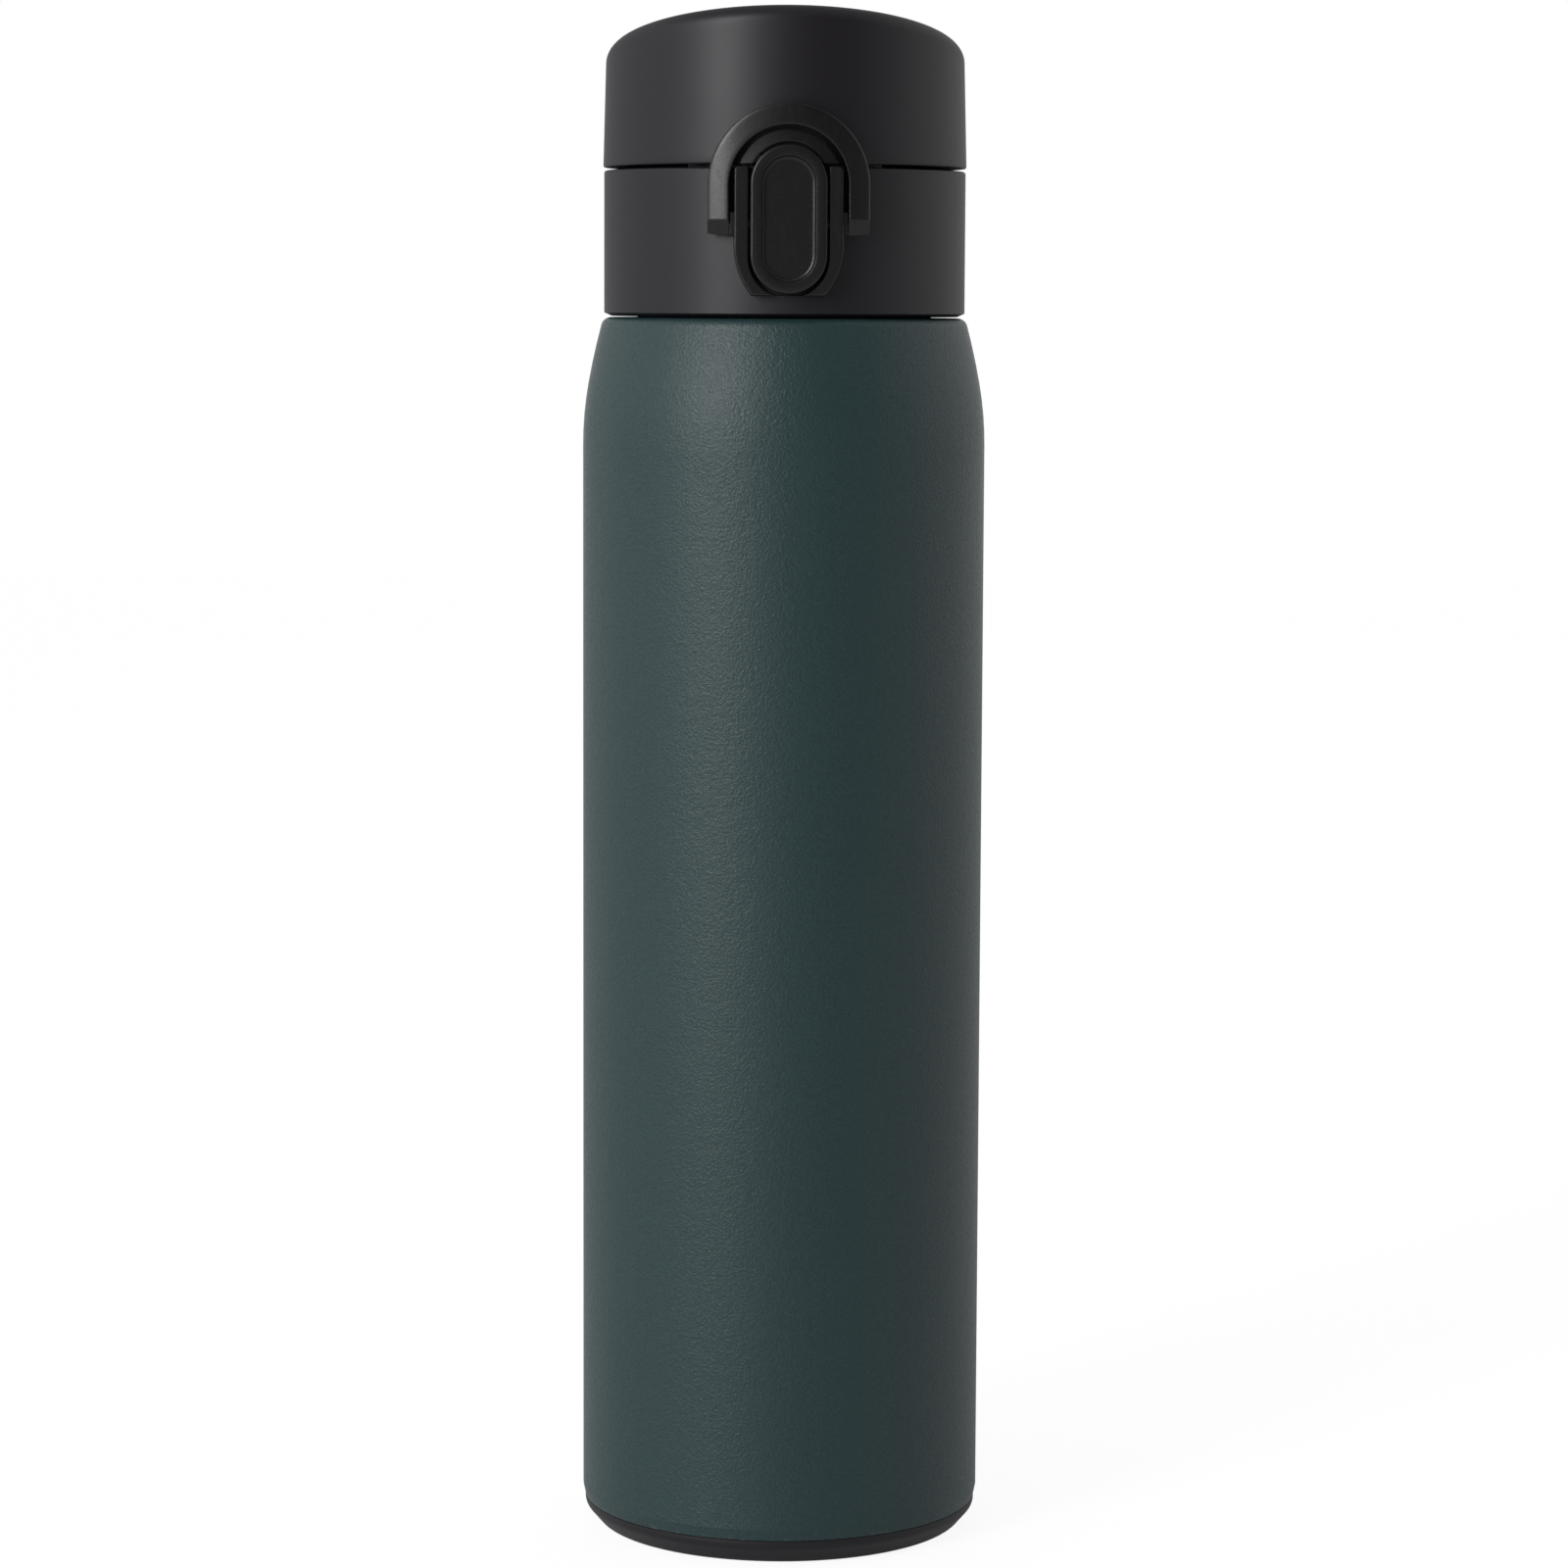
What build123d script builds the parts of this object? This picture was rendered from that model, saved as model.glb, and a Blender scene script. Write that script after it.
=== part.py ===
from build123d import *

import math
import os

# Vacuum flask with a screw-on cap unit, a hinged lid, a rocker push button and a swinging lock ring.
# Millimetres. Z runs up the flask's axis from the surface it stands on. The latch faces -Y, the hinge +Y.

# ---- outer bottle ----
BODY_R = 32.5  # outside of the painted barrel
BODY_H = 193.55  # lower rim to the ledge around the neck
BODY_BOTTOM_Z = 4.2  # the lower rim stands this high above the table
BODY_RIM_IN = 0.37  # the side turns in this far at the lower rim
BODY_RIM_RISE = 1.75  # and starts to this high above it
SHELL_WALL = 0.6
SHOULDER_R1 = 57.0  # first, tighter curve of the shoulder
SHOULDER_ANGLE1 = 10.0  # tilt of the wall where the second curve starts, degrees
SHOULDER_R2 = 110.0
SHOULDER_ANGLE2 = 15.0  # tilt where the ledge's rounded edge starts, degrees
LEDGE_EDGE_R = 1.65
NECK_R = 23.0
NECK_H = 15.75  # drinking lip above the ledge
NECK_ROOT_R = 1.2

# ---- inner bottle ----
LINER_WALL = 0.5
VACUUM_GAP = 2.3
NECK_GAP = 0.8
LINER_FLOOR_GAP = 2.2  # above the closing disc
LINER_CORNER_R = 9.0
LINER_LEDGE_GAP = 3.15  # top of the inner shoulder to the ledge's underside
LINER_NECK_ROOT_R = 1.0

# ---- base ----
DISC_RISE = 3.2  # top of the closing disc above the lower rim
DISC_T = 0.6
DISC_FIT = 0.05
GETTER_R = 6.0
GETTER_T = 1.2
GETTER_X = 14.0
GETTER_CHAMFER = 0.3
PUMP_HOLE_R = 1.0
SEAL_STEM_FIT = 0.05
SEAL_STEM_H = 0.9
SEAL_HEAD_R = 2.6
SEAL_HEAD_T = 1.0
SEAL_HEAD_EDGE_R = 0.7
BOOT_INSET = 0.37  # boot's side inside the barrel's
BOOT_GAP = 0.1  # shadow line between boot and painted barrel
BOOT_SLOPE_IN = 2.6  # slope from the side down to the foot ring
BOOT_SLOPE_RISE = 3.0
BOOT_EDGE_R = 1.75  # rounds both ends of the slope
BOOT_PLATE_T = 2.4
BOOT_FOOT_W = 2.4
BOOT_HOLLOW = 1.0
BOOT_SPIGOT_W = 2.2
BOOT_SPIGOT_FIT = 0.15

# ---- screw thread ----
THREAD_LEAD = 8.0
THREAD_STARTS = 2
THREAD_TURNS = 0.75
THREAD_RISE = 4.85  # middle of a neck rib's start above the ledge
THREAD_DEPTH = 1.15
THREAD_ROOT_HALF = 1.1
THREAD_CREST_HALF = 0.5
THREAD_FIT = 0.45  # between a crest and the wall it faces
RIB_SINK = 0.15  # how far a rib's root is buried in its wall

# ---- cap unit ----
COLLAR_INSET = 3.4  # collar's side inside the barrel's
COLLAR_LIFT = 0.2  # gap to the ledge
COLLAR_H = 23.19
COLLAR_WALL = 1.8
COLLAR_EDGE_R = 0.4
COLLAR_FOOT_IN = 1.2  # bevel around the collar's lower edge
COLLAR_FOOT_RISE = 0.54
DECK_T = 1.94
SLEEVE_WALL = 1.8
SLEEVE_LIFT = 0.95  # sleeve's lower end above the collar's
SLEEVE_FLANGE_T = 2.2
MOUTH_CLEARANCE = 0.4  # around the spout where it passes the deck

# ---- mouthpiece ----
SPOUT_R = 15.6
SPOUT_WALL = 1.8
SPOUT_LIP_R = 0.8
PLUG_FIT = 1.3  # around the plug inside the neck
PLUG_WALL = 1.5
PLUG_DEPTH = 7.0  # below the drinking lip
GASKET_T = 1.4
GASKET_EDGE_R = 0.42
SOFT_GAP = 0.3  # soft seals stand this far off the piece they close
FLANGE_INSET = 0.6  # flange's edge inside the neck's outside
FLANGE_T = 1.8

# ---- lid ----
PARTING_GAP = 0.52
LID_OVERHANG = 0.12  # lid's lower edge outside the collar
LID_H = 18.84  # lower edge to the slanted top, over the axis
LID_DRAFT = 1.45  # degrees
LID_WALL = 1.8
LID_SLANT = 12.19  # degrees, front high
LID_EDGE_R = 2.46
LID_INNER_EDGE_R = 1.0
LINER_FIT = 0.1
LID_LINER_T = 1.4
LID_LINER_SKIRT_T = 1.2
LID_LINER_SKIRT_LIFT = 2.94  # skirt's lower end above the lid's
SEAL_OVERLAP = 2.0  # seal's edge outside the spout's
SEAL_T = 1.85
SEAL_EDGE_R = 0.37
SEAL_LIP_W = 1.6
SEAL_HOLLOW = 0.6
SEAL_HOLDER_W = 1.4
SEAL_HOLDER_DEPTH = 3.0

# ---- lid hinge ----
HINGE_INSET = 0.2  # hinge axis inside the collar's side
HINGE_RISE = 0.84  # hinge axis above the lid's lower edge
HINGE_PIN_R = 1.0
PIN_FIT = 0.04
KNUCKLE_R = 3.0
KNUCKLE_GAP = 0.4  # around and beside the knuckles
KNUCKLE_ROOT_DROP = 9.0  # a collar knuckle's web starts this far under the axis
KNUCKLE_BACK = 1.8  # how far the web's top lies in front of the axis
KNUCKLE_BITE = 1.2  # how far the web reaches into the collar's wall
LID_KNUCKLE_W = 2.6
LID_WEB_H = 4.6
LID_WEB_PROUD = 1.5  # lid web's back face behind the axis
LID_WEB_BITE = 0.2
COLLAR_KNUCKLE_W = 3.4
TORSION_HALF = 2.7  # half the coil's length
TORSION_R = 1.75
TORSION_WIRE_R = 0.3
TORSION_PITCH = 0.75

# ---- latch: depths step out from the collar, heights from its top ----
BUTTON_HALF = 5.95
BUTTON_RISE = 3.41  # top of the button above the collar
BUTTON_DROP = 19.56  # its lower end below the collar's top
BUTTON_PROUD = 2.8
BUTTON_T = 2.9
BUTTON_TOP_T = 1.5
BUTTON_STEP_DROP = 0.74  # above this the button's back clears the lid
BUTTON_EDGE_R = 0.3
DISH_DEPTH = 0.8
DISH_BORDER = 1.8
DISH_TOP_BORDER = 2.24
DISH_BOTTOM_BORDER = 1.89
DISH_SLOPE = 0.45
NOSE_HALF = 2.0
NOSE_DROP = 1.25  # nose's lower side below the button's top
NOSE_H = 1.0
NOSE_REACH = 0.5
NOSE_CLEARANCE = 0.18  # lug to nose, measured outwards
LUG_CLEARANCE = 0.3  # lug to nose, measured upwards
LUG_H = 1.1
LUG_BITE = 0.5  # how far the lug's ends reach into the catch
HOUSING_PROUD = 1.8
HOUSING_DEPTH = 0.65  # floor's back inside the collar's wall
HOUSING_FLOOR_T = 0.85
HOUSING_WALL = 2.16
HOUSING_FOOT = 2.78  # how far the flat foot is narrower on each side
HOUSING_FOOT_LIFT = 0.41  # flat foot above the pocket's lowest point
HOUSING_CORNER_H = 8.8
HOUSING_BEND_IN = 0.7  # middle of the rounded corner, inwards from the rail
HOUSING_BEND_UP = 3.7  # and upwards from the foot
HOUSING_FIT = 0.05
POCKET_SIDE_GAP = 0.35
POCKET_END_GAP = 0.69
LATCH_EDGE_R = 0.35
PIVOT_DROP = 8.74  # pivot below the collar's top
PIVOT_DEPTH = 0.3  # pivot outside the button's back
LATCH_PIN_R = 0.75
LATCH_PIN_BITE = 1.7  # how far the pin reaches into each leg
HUB_R = 1.5
HUB_INSET = 0.4  # button hub inside the button's side
HOUSING_HUB_GAP = 0.15  # housing hub to the ring's leg
HOUSING_HUB_DROP = 0.5  # housing hub behind the rails' front
BUTTON_SPRING_RISE = 4.02  # above the button's lower end
BUTTON_SPRING_R = 1.55
BUTTON_SPRING_WIRE_R = 0.2
BUTTON_SPRING_TURNS = 4
SPRING_WELL_R = 2.1
SPRING_WELL_COVER = 1.6  # button left in front of the well

# ---- lid catch and lock ring ----
CATCH_PROUD = 1.4
CATCH_W = 2.1
CATCH_RISE = 2.45  # above the button's top
CATCH_GAP = 0.4  # above the button's top
CATCH_SEAT = 0.02
RING_PROUD = 3.3
RING_SHADOW = 0.5  # gap between the ring's back and the collar
RING_W = 3.3
RING_SIDE_GAP = 0.84  # to the housing's rails
RING_RISE = 3.85  # above the catch
RING_RELIEF_GAP = 0.3
RING_RELIEF_SIDE_GAP = 0.35
RING_EDGE_R = 0.5
LEG_END_R = 1.8
LEG_END_GAP = 0.25
LEG_CHAMFER_RISE = 0.5  # the toe's slope starts this far above the pivot
LEG_CHAMFER_RUN = 1.5  # and comes this far in by the leg's end

FAR = 80.0  # longer than any cut needs
OVERCUT = 1.0  # cuts run this far past the face they open
SAME = 0.001  # two radii this close are the same face

# ---- places worked out from the sizes above ----
BODY_TOP_Z = BODY_BOTTOM_Z + BODY_H
NECK_TOP_Z = BODY_TOP_Z + NECK_H
NECK_INNER_R = NECK_R - SHELL_WALL - NECK_GAP - LINER_WALL
DISC_TOP_Z = BODY_BOTTOM_Z + DISC_RISE
LINER_BOTTOM_Z = DISC_TOP_Z + LINER_FLOOR_GAP
BOOT_R = BODY_R - BOOT_INSET
THREAD_Z = BODY_TOP_Z + THREAD_RISE

COLLAR_R = BODY_R - COLLAR_INSET
COLLAR_INNER_R = COLLAR_R - COLLAR_WALL
COLLAR_BOTTOM_Z = BODY_TOP_Z + COLLAR_LIFT
COLLAR_TOP_Z = COLLAR_BOTTOM_Z + COLLAR_H
DECK_BOTTOM_Z = COLLAR_TOP_Z - DECK_T
SLEEVE_BORE_R = NECK_R + THREAD_DEPTH + THREAD_FIT
SLEEVE_R = SLEEVE_BORE_R + SLEEVE_WALL
SLEEVE_BOTTOM_Z = COLLAR_BOTTOM_Z + SLEEVE_LIFT
SLEEVE_FLANGE_Z = DECK_BOTTOM_Z - SLEEVE_FLANGE_T
PLUG_R = NECK_INNER_R - PLUG_FIT
PLUG_BOTTOM_Z = NECK_TOP_Z - PLUG_DEPTH
FLANGE_R = NECK_R - FLANGE_INSET
FLANGE_BOTTOM_Z = NECK_TOP_Z + SOFT_GAP + GASKET_T
FLANGE_TOP_Z = FLANGE_BOTTOM_Z + FLANGE_T

LID_R = COLLAR_R + LID_OVERHANG
LID_BOTTOM_Z = COLLAR_TOP_Z + PARTING_GAP
LID_AXIS_Z = LID_BOTTOM_Z + LID_H
LID_LINER_SKIRT_Z = LID_BOTTOM_Z + LID_LINER_SKIRT_LIFT
SEAL_R = SPOUT_R + SEAL_OVERLAP
SEAL_TOP = -(LID_WALL + LINER_FIT + LID_LINER_T + LINER_FIT)  # along the lid's slanted normal
LIP_LEVEL = SEAL_TOP - SEAL_T - SOFT_GAP
HINGE_Y = COLLAR_R - HINGE_INSET
HINGE_Z = LID_BOTTOM_Z + HINGE_RISE
LID_KNUCKLE_X = TORSION_HALF + KNUCKLE_GAP
COLLAR_KNUCKLE_X = LID_KNUCKLE_X + LID_KNUCKLE_W + KNUCKLE_GAP
HINGE_HALF = COLLAR_KNUCKLE_X + COLLAR_KNUCKLE_W

HOUSING_R = COLLAR_R + HOUSING_PROUD
HOUSING_BACK_R = COLLAR_INNER_R - HOUSING_DEPTH
POCKET_FLOOR_R = HOUSING_BACK_R + HOUSING_FLOOR_T
BUTTON_R = COLLAR_R + BUTTON_PROUD
BUTTON_BACK_R = BUTTON_R - BUTTON_T
BUTTON_TOP_BACK_R = BUTTON_R - BUTTON_TOP_T
BUTTON_TOP_Z = COLLAR_TOP_Z + BUTTON_RISE
BUTTON_BOTTOM_Z = COLLAR_TOP_Z - BUTTON_DROP
BUTTON_STEP_Z = COLLAR_TOP_Z - BUTTON_STEP_DROP
POCKET_HALF = BUTTON_HALF + POCKET_SIDE_GAP
POCKET_BOTTOM_Z = BUTTON_BOTTOM_Z - POCKET_END_GAP
HOUSING_HALF = POCKET_HALF + HOUSING_WALL
HOUSING_BOTTOM_Z = POCKET_BOTTOM_Z + HOUSING_FOOT_LIFT
DISH_R = BUTTON_R - DISH_DEPTH
DISH_HALF = BUTTON_HALF - DISH_BORDER
DISH_TOP_Z = BUTTON_TOP_Z - DISH_TOP_BORDER
DISH_BOTTOM_Z = BUTTON_BOTTOM_Z + DISH_BOTTOM_BORDER
NOSE_R = BUTTON_TOP_BACK_R - NOSE_REACH
NOSE_Z = BUTTON_TOP_Z - NOSE_DROP
LUG_R = NOSE_R - NOSE_CLEARANCE
LUG_TOP_Z = NOSE_Z - LUG_CLEARANCE
PIVOT_Y = -(BUTTON_BACK_R + PIVOT_DEPTH)
PIVOT_Z = COLLAR_TOP_Z - PIVOT_DROP
BUTTON_SPRING_Z = BUTTON_BOTTOM_Z + BUTTON_SPRING_RISE
SPRING_WELL_END_R = BUTTON_R - SPRING_WELL_COVER

CATCH_R = COLLAR_R + CATCH_PROUD
CATCH_HALF = POCKET_HALF + CATCH_W
CATCH_TOP_Z = BUTTON_TOP_Z + CATCH_RISE
RING_R = COLLAR_R + RING_PROUD
RING_BACK_R = COLLAR_R + RING_SHADOW
RING_INNER_HALF = HOUSING_HALF + RING_SIDE_GAP
RING_HALF = RING_INNER_HALF + RING_W
RING_TOP_Z = CATCH_TOP_Z + RING_RISE
RING_RELIEF_R = CATCH_R + RING_RELIEF_GAP
RING_RELIEF_HALF = CATCH_HALF + RING_RELIEF_SIDE_GAP
LATCH_PIN_HALF = RING_INNER_HALF + LATCH_PIN_BITE


def disc(radius, low, high):
    """Solid cylinder on the flask's axis."""
    return Pos(0, 0, low) * Cylinder(radius, high - low, align=(Align.CENTER, Align.CENTER, Align.MIN))


def tube(outer, inner, low, high):
    return disc(outer, low, high) - disc(inner, low, high)


def cross_rod(radius, half_length, y, z):
    """Cylinder along X, centred on x = 0."""
    return Pos(0, y, z) * Rot(0, 90, 0) * Cylinder(radius, 2 * half_length)


def block(x_low, x_high, y_low, y_high, z_low, z_high):
    centre = Pos((x_low + x_high) / 2, (y_low + y_high) / 2, (z_low + z_high) / 2)
    return centre * Box(x_high - x_low, y_high - y_low, z_high - z_low)


def forward(outline):
    """Prism that carries an outline drawn in x and z from the axis out towards the front."""
    return extrude(Plane.XZ * outline, amount=FAR)


def ahead(distance):
    """Everything in front of an upright flat plane this far from the axis."""
    return block(-FAR, FAR, -2 * FAR, -distance, 0, 2 * LID_AXIS_Z)


def spin(outline):
    """Solid of revolution of an outline drawn in radius and z."""
    return revolve(Plane.XZ * outline, axis=Axis.Z)


def bevel_below(radius, run, low, rise):
    """Cutter that bevels a turned piece's lower edge, by a run inwards and a rise upwards."""
    high = low + rise
    return spin(make_face(Polyline((radius - run, low), (radius, high), (FAR, high), (FAR, low), close=True)))


def slot(half_width, low, high):
    """Upright stadium drawn in x and z."""
    middle = Pos(0, (low + high) / 2) * Rectangle(2 * half_width, high - low - 2 * half_width)
    ends = Pos(0, low + half_width) * Circle(half_width) + Pos(0, high - half_width) * Circle(half_width)
    return middle + ends


def arch(half_width, low, high):
    """Upright bar with a half-round top, drawn in x and z."""
    bar = Pos(0, (low + high) / 2) * Rectangle(2 * half_width, high - low)
    round_top = Circle(half_width) + Pos(0, -FAR / 2) * Rectangle(2 * half_width, FAR)
    return bar & Pos(0, high - half_width) * round_top


def slanted(level):
    """Frame whose z axis is the lid top's normal, at a level measured along it from the top."""
    return Pos(0, 0, LID_AXIS_Z) * Rot(-LID_SLANT, 0, 0) * Pos(0, 0, level)


def below_slant(level):
    """Everything under a flat slanted plane."""
    return slanted(level) * Pos(0, 0, -FAR) * Box(2 * FAR, 2 * FAR, 2 * FAR)


def lid_cone(inset, low):
    """The lid's drafted wall as a tall solid cone, moved in by an inset."""
    high = LID_AXIS_Z + FAR / 2
    draft = math.tan(math.radians(LID_DRAFT))
    r_low = LID_R - inset - (low - LID_BOTTOM_Z) * draft
    r_high = LID_R - inset - (high - LID_BOTTOM_Z) * draft
    return spin(make_face(Polyline((0, low), (r_low, low), (r_high, high), (0, high), close=True)))


def polar(centre, radius, degrees):
    angle = math.radians(degrees)
    return (centre[0] + radius * math.cos(angle), centre[1] + radius * math.sin(angle))


def arc(centre, radius, start, end):
    """Arc by centre, radius and two directions in degrees."""
    middle = (start + end) / 2
    points = [polar(centre, radius, a) for a in (start, middle, end)]
    return ThreePointArc(*points)


def outer_bottle(inset, low):
    """The outer bottle's filled shape with its skin moved in by an inset."""
    up1 = math.sin(math.radians(SHOULDER_ANGLE1))
    up2 = math.sin(math.radians(SHOULDER_ANGLE2))
    edge_z = BODY_TOP_Z - LEDGE_EDGE_R
    start_z = edge_z - (SHOULDER_R2 - LEDGE_EDGE_R) * up2 - (SHOULDER_R1 - SHOULDER_R2) * up1
    c1 = (BODY_R - SHOULDER_R1, start_z)
    c2 = polar(c1, SHOULDER_R1 - SHOULDER_R2, SHOULDER_ANGLE1)
    c3 = polar(c2, SHOULDER_R2 - LEDGE_EDGE_R, SHOULDER_ANGLE2)
    c4 = (NECK_R + NECK_ROOT_R, BODY_TOP_Z + NECK_ROOT_R)
    curve1 = arc(c1, SHOULDER_R1 - inset, 0, SHOULDER_ANGLE1)
    curve2 = arc(c2, SHOULDER_R2 - inset, SHOULDER_ANGLE1, SHOULDER_ANGLE2)
    edge = arc(c3, LEDGE_EDGE_R - inset, SHOULDER_ANGLE2, 90)
    root = arc(c4, NECK_ROOT_R + inset, 270, 180)
    neck_top = (NECK_R - inset, NECK_TOP_Z - LINER_WALL)
    outline = [
        Line((0, low), (BODY_R - inset, low)),
        Line((BODY_R - inset, low), curve1 @ 0),
        curve1,
        curve2,
        edge,
        Line(edge @ 1, root @ 0),
        root,
        Line(root @ 1, neck_top),
        Line(neck_top, (0, neck_top[1])),
        Line((0, neck_top[1]), (0, low)),
    ]
    return spin(make_face(outline))


def inner_bottle(inset):
    """The inner bottle's filled shape with its skin moved in by an inset."""
    radius = BODY_R - SHELL_WALL - VACUUM_GAP
    neck = NECK_R - SHELL_WALL - NECK_GAP
    shoulder = radius - neck - LINER_NECK_ROOT_R
    root_z = BODY_TOP_Z - SHELL_WALL - LINER_LEDGE_GAP
    shoulder_z = root_z - LINER_NECK_ROOT_R - shoulder
    corner = arc((radius - LINER_CORNER_R, LINER_BOTTOM_Z + LINER_CORNER_R), LINER_CORNER_R - inset, 270, 360)
    bend = arc((radius - shoulder, shoulder_z), shoulder - inset, 0, 90)
    root = arc((neck + LINER_NECK_ROOT_R, root_z), LINER_NECK_ROOT_R + inset, 270, 180)
    outline = [
        Line((0, LINER_BOTTOM_Z + inset), corner @ 0),
        corner,
        Line(corner @ 1, bend @ 0),
        bend,
        root,
        Line(root @ 1, (neck - inset, NECK_TOP_Z)),
        Line((neck - inset, NECK_TOP_Z), (0, NECK_TOP_Z)),
        Line((0, NECK_TOP_Z), (0, LINER_BOTTOM_Z + inset)),
    ]
    return spin(make_face(outline))


def thread_ribs(root_r, crest_r, start_z):
    """Helical ribs of the two-start thread; a crest inside the root makes inward ribs."""
    depth = crest_r - root_r
    sink = -math.copysign(RIB_SINK, depth)
    path = Helix(pitch=THREAD_LEAD, height=THREAD_LEAD * THREAD_TURNS, radius=root_r)
    section = Plane(origin=path @ 0, x_dir=(1, 0, 0), z_dir=path % 0) * make_face(
        Polyline(
            (sink, -THREAD_ROOT_HALF),
            (depth, -THREAD_CREST_HALF),
            (depth, THREAD_CREST_HALF),
            (sink, THREAD_ROOT_HALF),
            close=True,
        )
    )
    rib = Pos(0, 0, start_z) * sweep(section, path=path, is_frenet=True)
    return [Rot(0, 0, 360 * i / THREAD_STARTS) * rib for i in range(THREAD_STARTS)]


def coil(radius, wire_r, pitch, length):
    """Round-wire coil along Z from z = 0."""
    path = Helix(pitch=pitch, height=length, radius=radius)
    return sweep(Plane(origin=path @ 0, z_dir=path % 0) * Circle(wire_r), path=path, is_frenet=True)


def make_outer_shell():
    shell = outer_bottle(0, BODY_BOTTOM_Z) - outer_bottle(SHELL_WALL, BODY_BOTTOM_Z)
    # The inset body keeps a lid of its own under the lip, so the neck is opened right through.
    shell -= disc(NECK_R - SHELL_WALL, BODY_TOP_Z, NECK_TOP_Z)
    shell -= bevel_below(BODY_R, BODY_RIM_IN, BODY_BOTTOM_Z, BODY_RIM_RISE)
    for rib in thread_ribs(NECK_R, NECK_R + THREAD_DEPTH, THREAD_Z):
        shell += rib
    return shell


def make_inner_liner():
    liner = inner_bottle(0) - inner_bottle(LINER_WALL)
    return liner + tube(NECK_R, NECK_INNER_R, NECK_TOP_Z - LINER_WALL, NECK_TOP_Z)


def make_outer_bottom():
    radius = BODY_R - SHELL_WALL - DISC_FIT
    plate = disc(radius, DISC_TOP_Z - DISC_T, DISC_TOP_Z)
    flange = tube(radius, radius - DISC_T, BODY_BOTTOM_Z, DISC_TOP_Z)
    return plate + flange - disc(PUMP_HOLE_R, DISC_TOP_Z - 2 * DISC_T, DISC_TOP_Z + DISC_T)


def make_getter():
    tablet = Pos(GETTER_X, 0, 0) * disc(GETTER_R, DISC_TOP_Z, DISC_TOP_Z + GETTER_T)
    return chamfer(tablet.faces().sort_by(Axis.Z)[-1].edges(), GETTER_CHAMFER)


def make_vacuum_seal():
    under = DISC_TOP_Z - DISC_T
    bead = disc(PUMP_HOLE_R - SEAL_STEM_FIT, under, under + SEAL_STEM_H)
    head = disc(SEAL_HEAD_R, under - SEAL_HEAD_T, under)
    head = fillet(head.faces().sort_by(Axis.Z)[0].edges(), SEAL_HEAD_EDGE_R)
    return bead + head


def make_base_boot():
    top = BODY_BOTTOM_Z - BOOT_GAP
    under = DISC_TOP_Z - DISC_T
    foot_outer = BOOT_R - BOOT_SLOPE_IN
    spigot_outer = BODY_R - SHELL_WALL - DISC_FIT - DISC_T - BOOT_SPIGOT_FIT
    outline = Polyline(
        (0, 0), (foot_outer, 0), (BOOT_R, BOOT_SLOPE_RISE), (BOOT_R, top), (0, top), close=True
    )
    boot = spin(make_face(outline))
    slope = boot.faces().filter_by(GeomType.CONE)[0]
    boot = fillet(slope.edges().filter_by(GeomType.CIRCLE), BOOT_EDGE_R)
    boot -= disc(spigot_outer - BOOT_SPIGOT_W, BOOT_PLATE_T, top)
    boot -= disc(foot_outer - BOOT_FOOT_W, 0, BOOT_HOLLOW)
    return boot + tube(spigot_outer, spigot_outer - BOOT_SPIGOT_W, BOOT_PLATE_T, under)


def hinge_notch(side_low, side_high):
    """Round clearance about the hinge axis between two distances from the middle, on both sides."""
    radius = KNUCKLE_R + KNUCKLE_GAP
    rod = cross_rod(radius, side_high, HINGE_Y, HINGE_Z)
    if side_low > 0:
        rod -= cross_rod(2 * radius, side_low, HINGE_Y, HINGE_Z)
    return rod


def knuckle(x_low, width, web):
    """One hinge knuckle from x_low outwards, joined to its web and bored for the pin."""
    barrel = Pos(x_low + width / 2, HINGE_Y, HINGE_Z) * Rot(0, 90, 0) * Cylinder(KNUCKLE_R, width)
    return barrel + web - cross_rod(HINGE_PIN_R + PIN_FIT, HINGE_HALF + OVERCUT, HINGE_Y, HINGE_Z)


def collar_knuckle():
    wall_y = math.sqrt(COLLAR_R**2 - COLLAR_KNUCKLE_X**2)
    root_y = wall_y - KNUCKLE_BITE
    root_z = HINGE_Z - KNUCKLE_ROOT_DROP
    profile = make_face(
        Polyline(
            (root_y, root_z),
            (wall_y, root_z),
            (HINGE_Y + KNUCKLE_R, HINGE_Z - KNUCKLE_R),
            (HINGE_Y + KNUCKLE_R, HINGE_Z),
            (HINGE_Y - KNUCKLE_BACK, HINGE_Z),
            (root_y, DECK_BOTTOM_Z),
            close=True,
        )
    )
    web = extrude(Plane.YZ.offset(COLLAR_KNUCKLE_X) * profile, amount=COLLAR_KNUCKLE_W)
    return knuckle(COLLAR_KNUCKLE_X, COLLAR_KNUCKLE_W, web)


def lid_knuckle():
    web = block(
        LID_KNUCKLE_X,
        LID_KNUCKLE_X + LID_KNUCKLE_W,
        LID_R - LID_WALL - LID_WEB_BITE,
        HINGE_Y + LID_WEB_PROUD,
        HINGE_Z,
        HINGE_Z + LID_WEB_H,
    )
    return knuckle(LID_KNUCKLE_X, LID_KNUCKLE_W, web)


def both_sides(piece):
    return piece + mirror(piece, about=Plane.YZ)


def front_edges(piece, radius):
    """Edges around the cylindrical front face that lies at a radius."""
    fronts = [f for f in piece.faces().filter_by(GeomType.CYLINDER) if abs(f.radius - radius) < SAME]
    return ShapeList(edge for face in fronts for edge in face.edges())


def flat_edges(piece, distance):
    """Edges around the flat front face that lies this far from the axis."""
    fronts = [f for f in piece.faces().filter_by(Axis.Y) if abs(f.center().Y + distance) < SAME]
    return ShapeList(edge for face in fronts for edge in face.edges())


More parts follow.
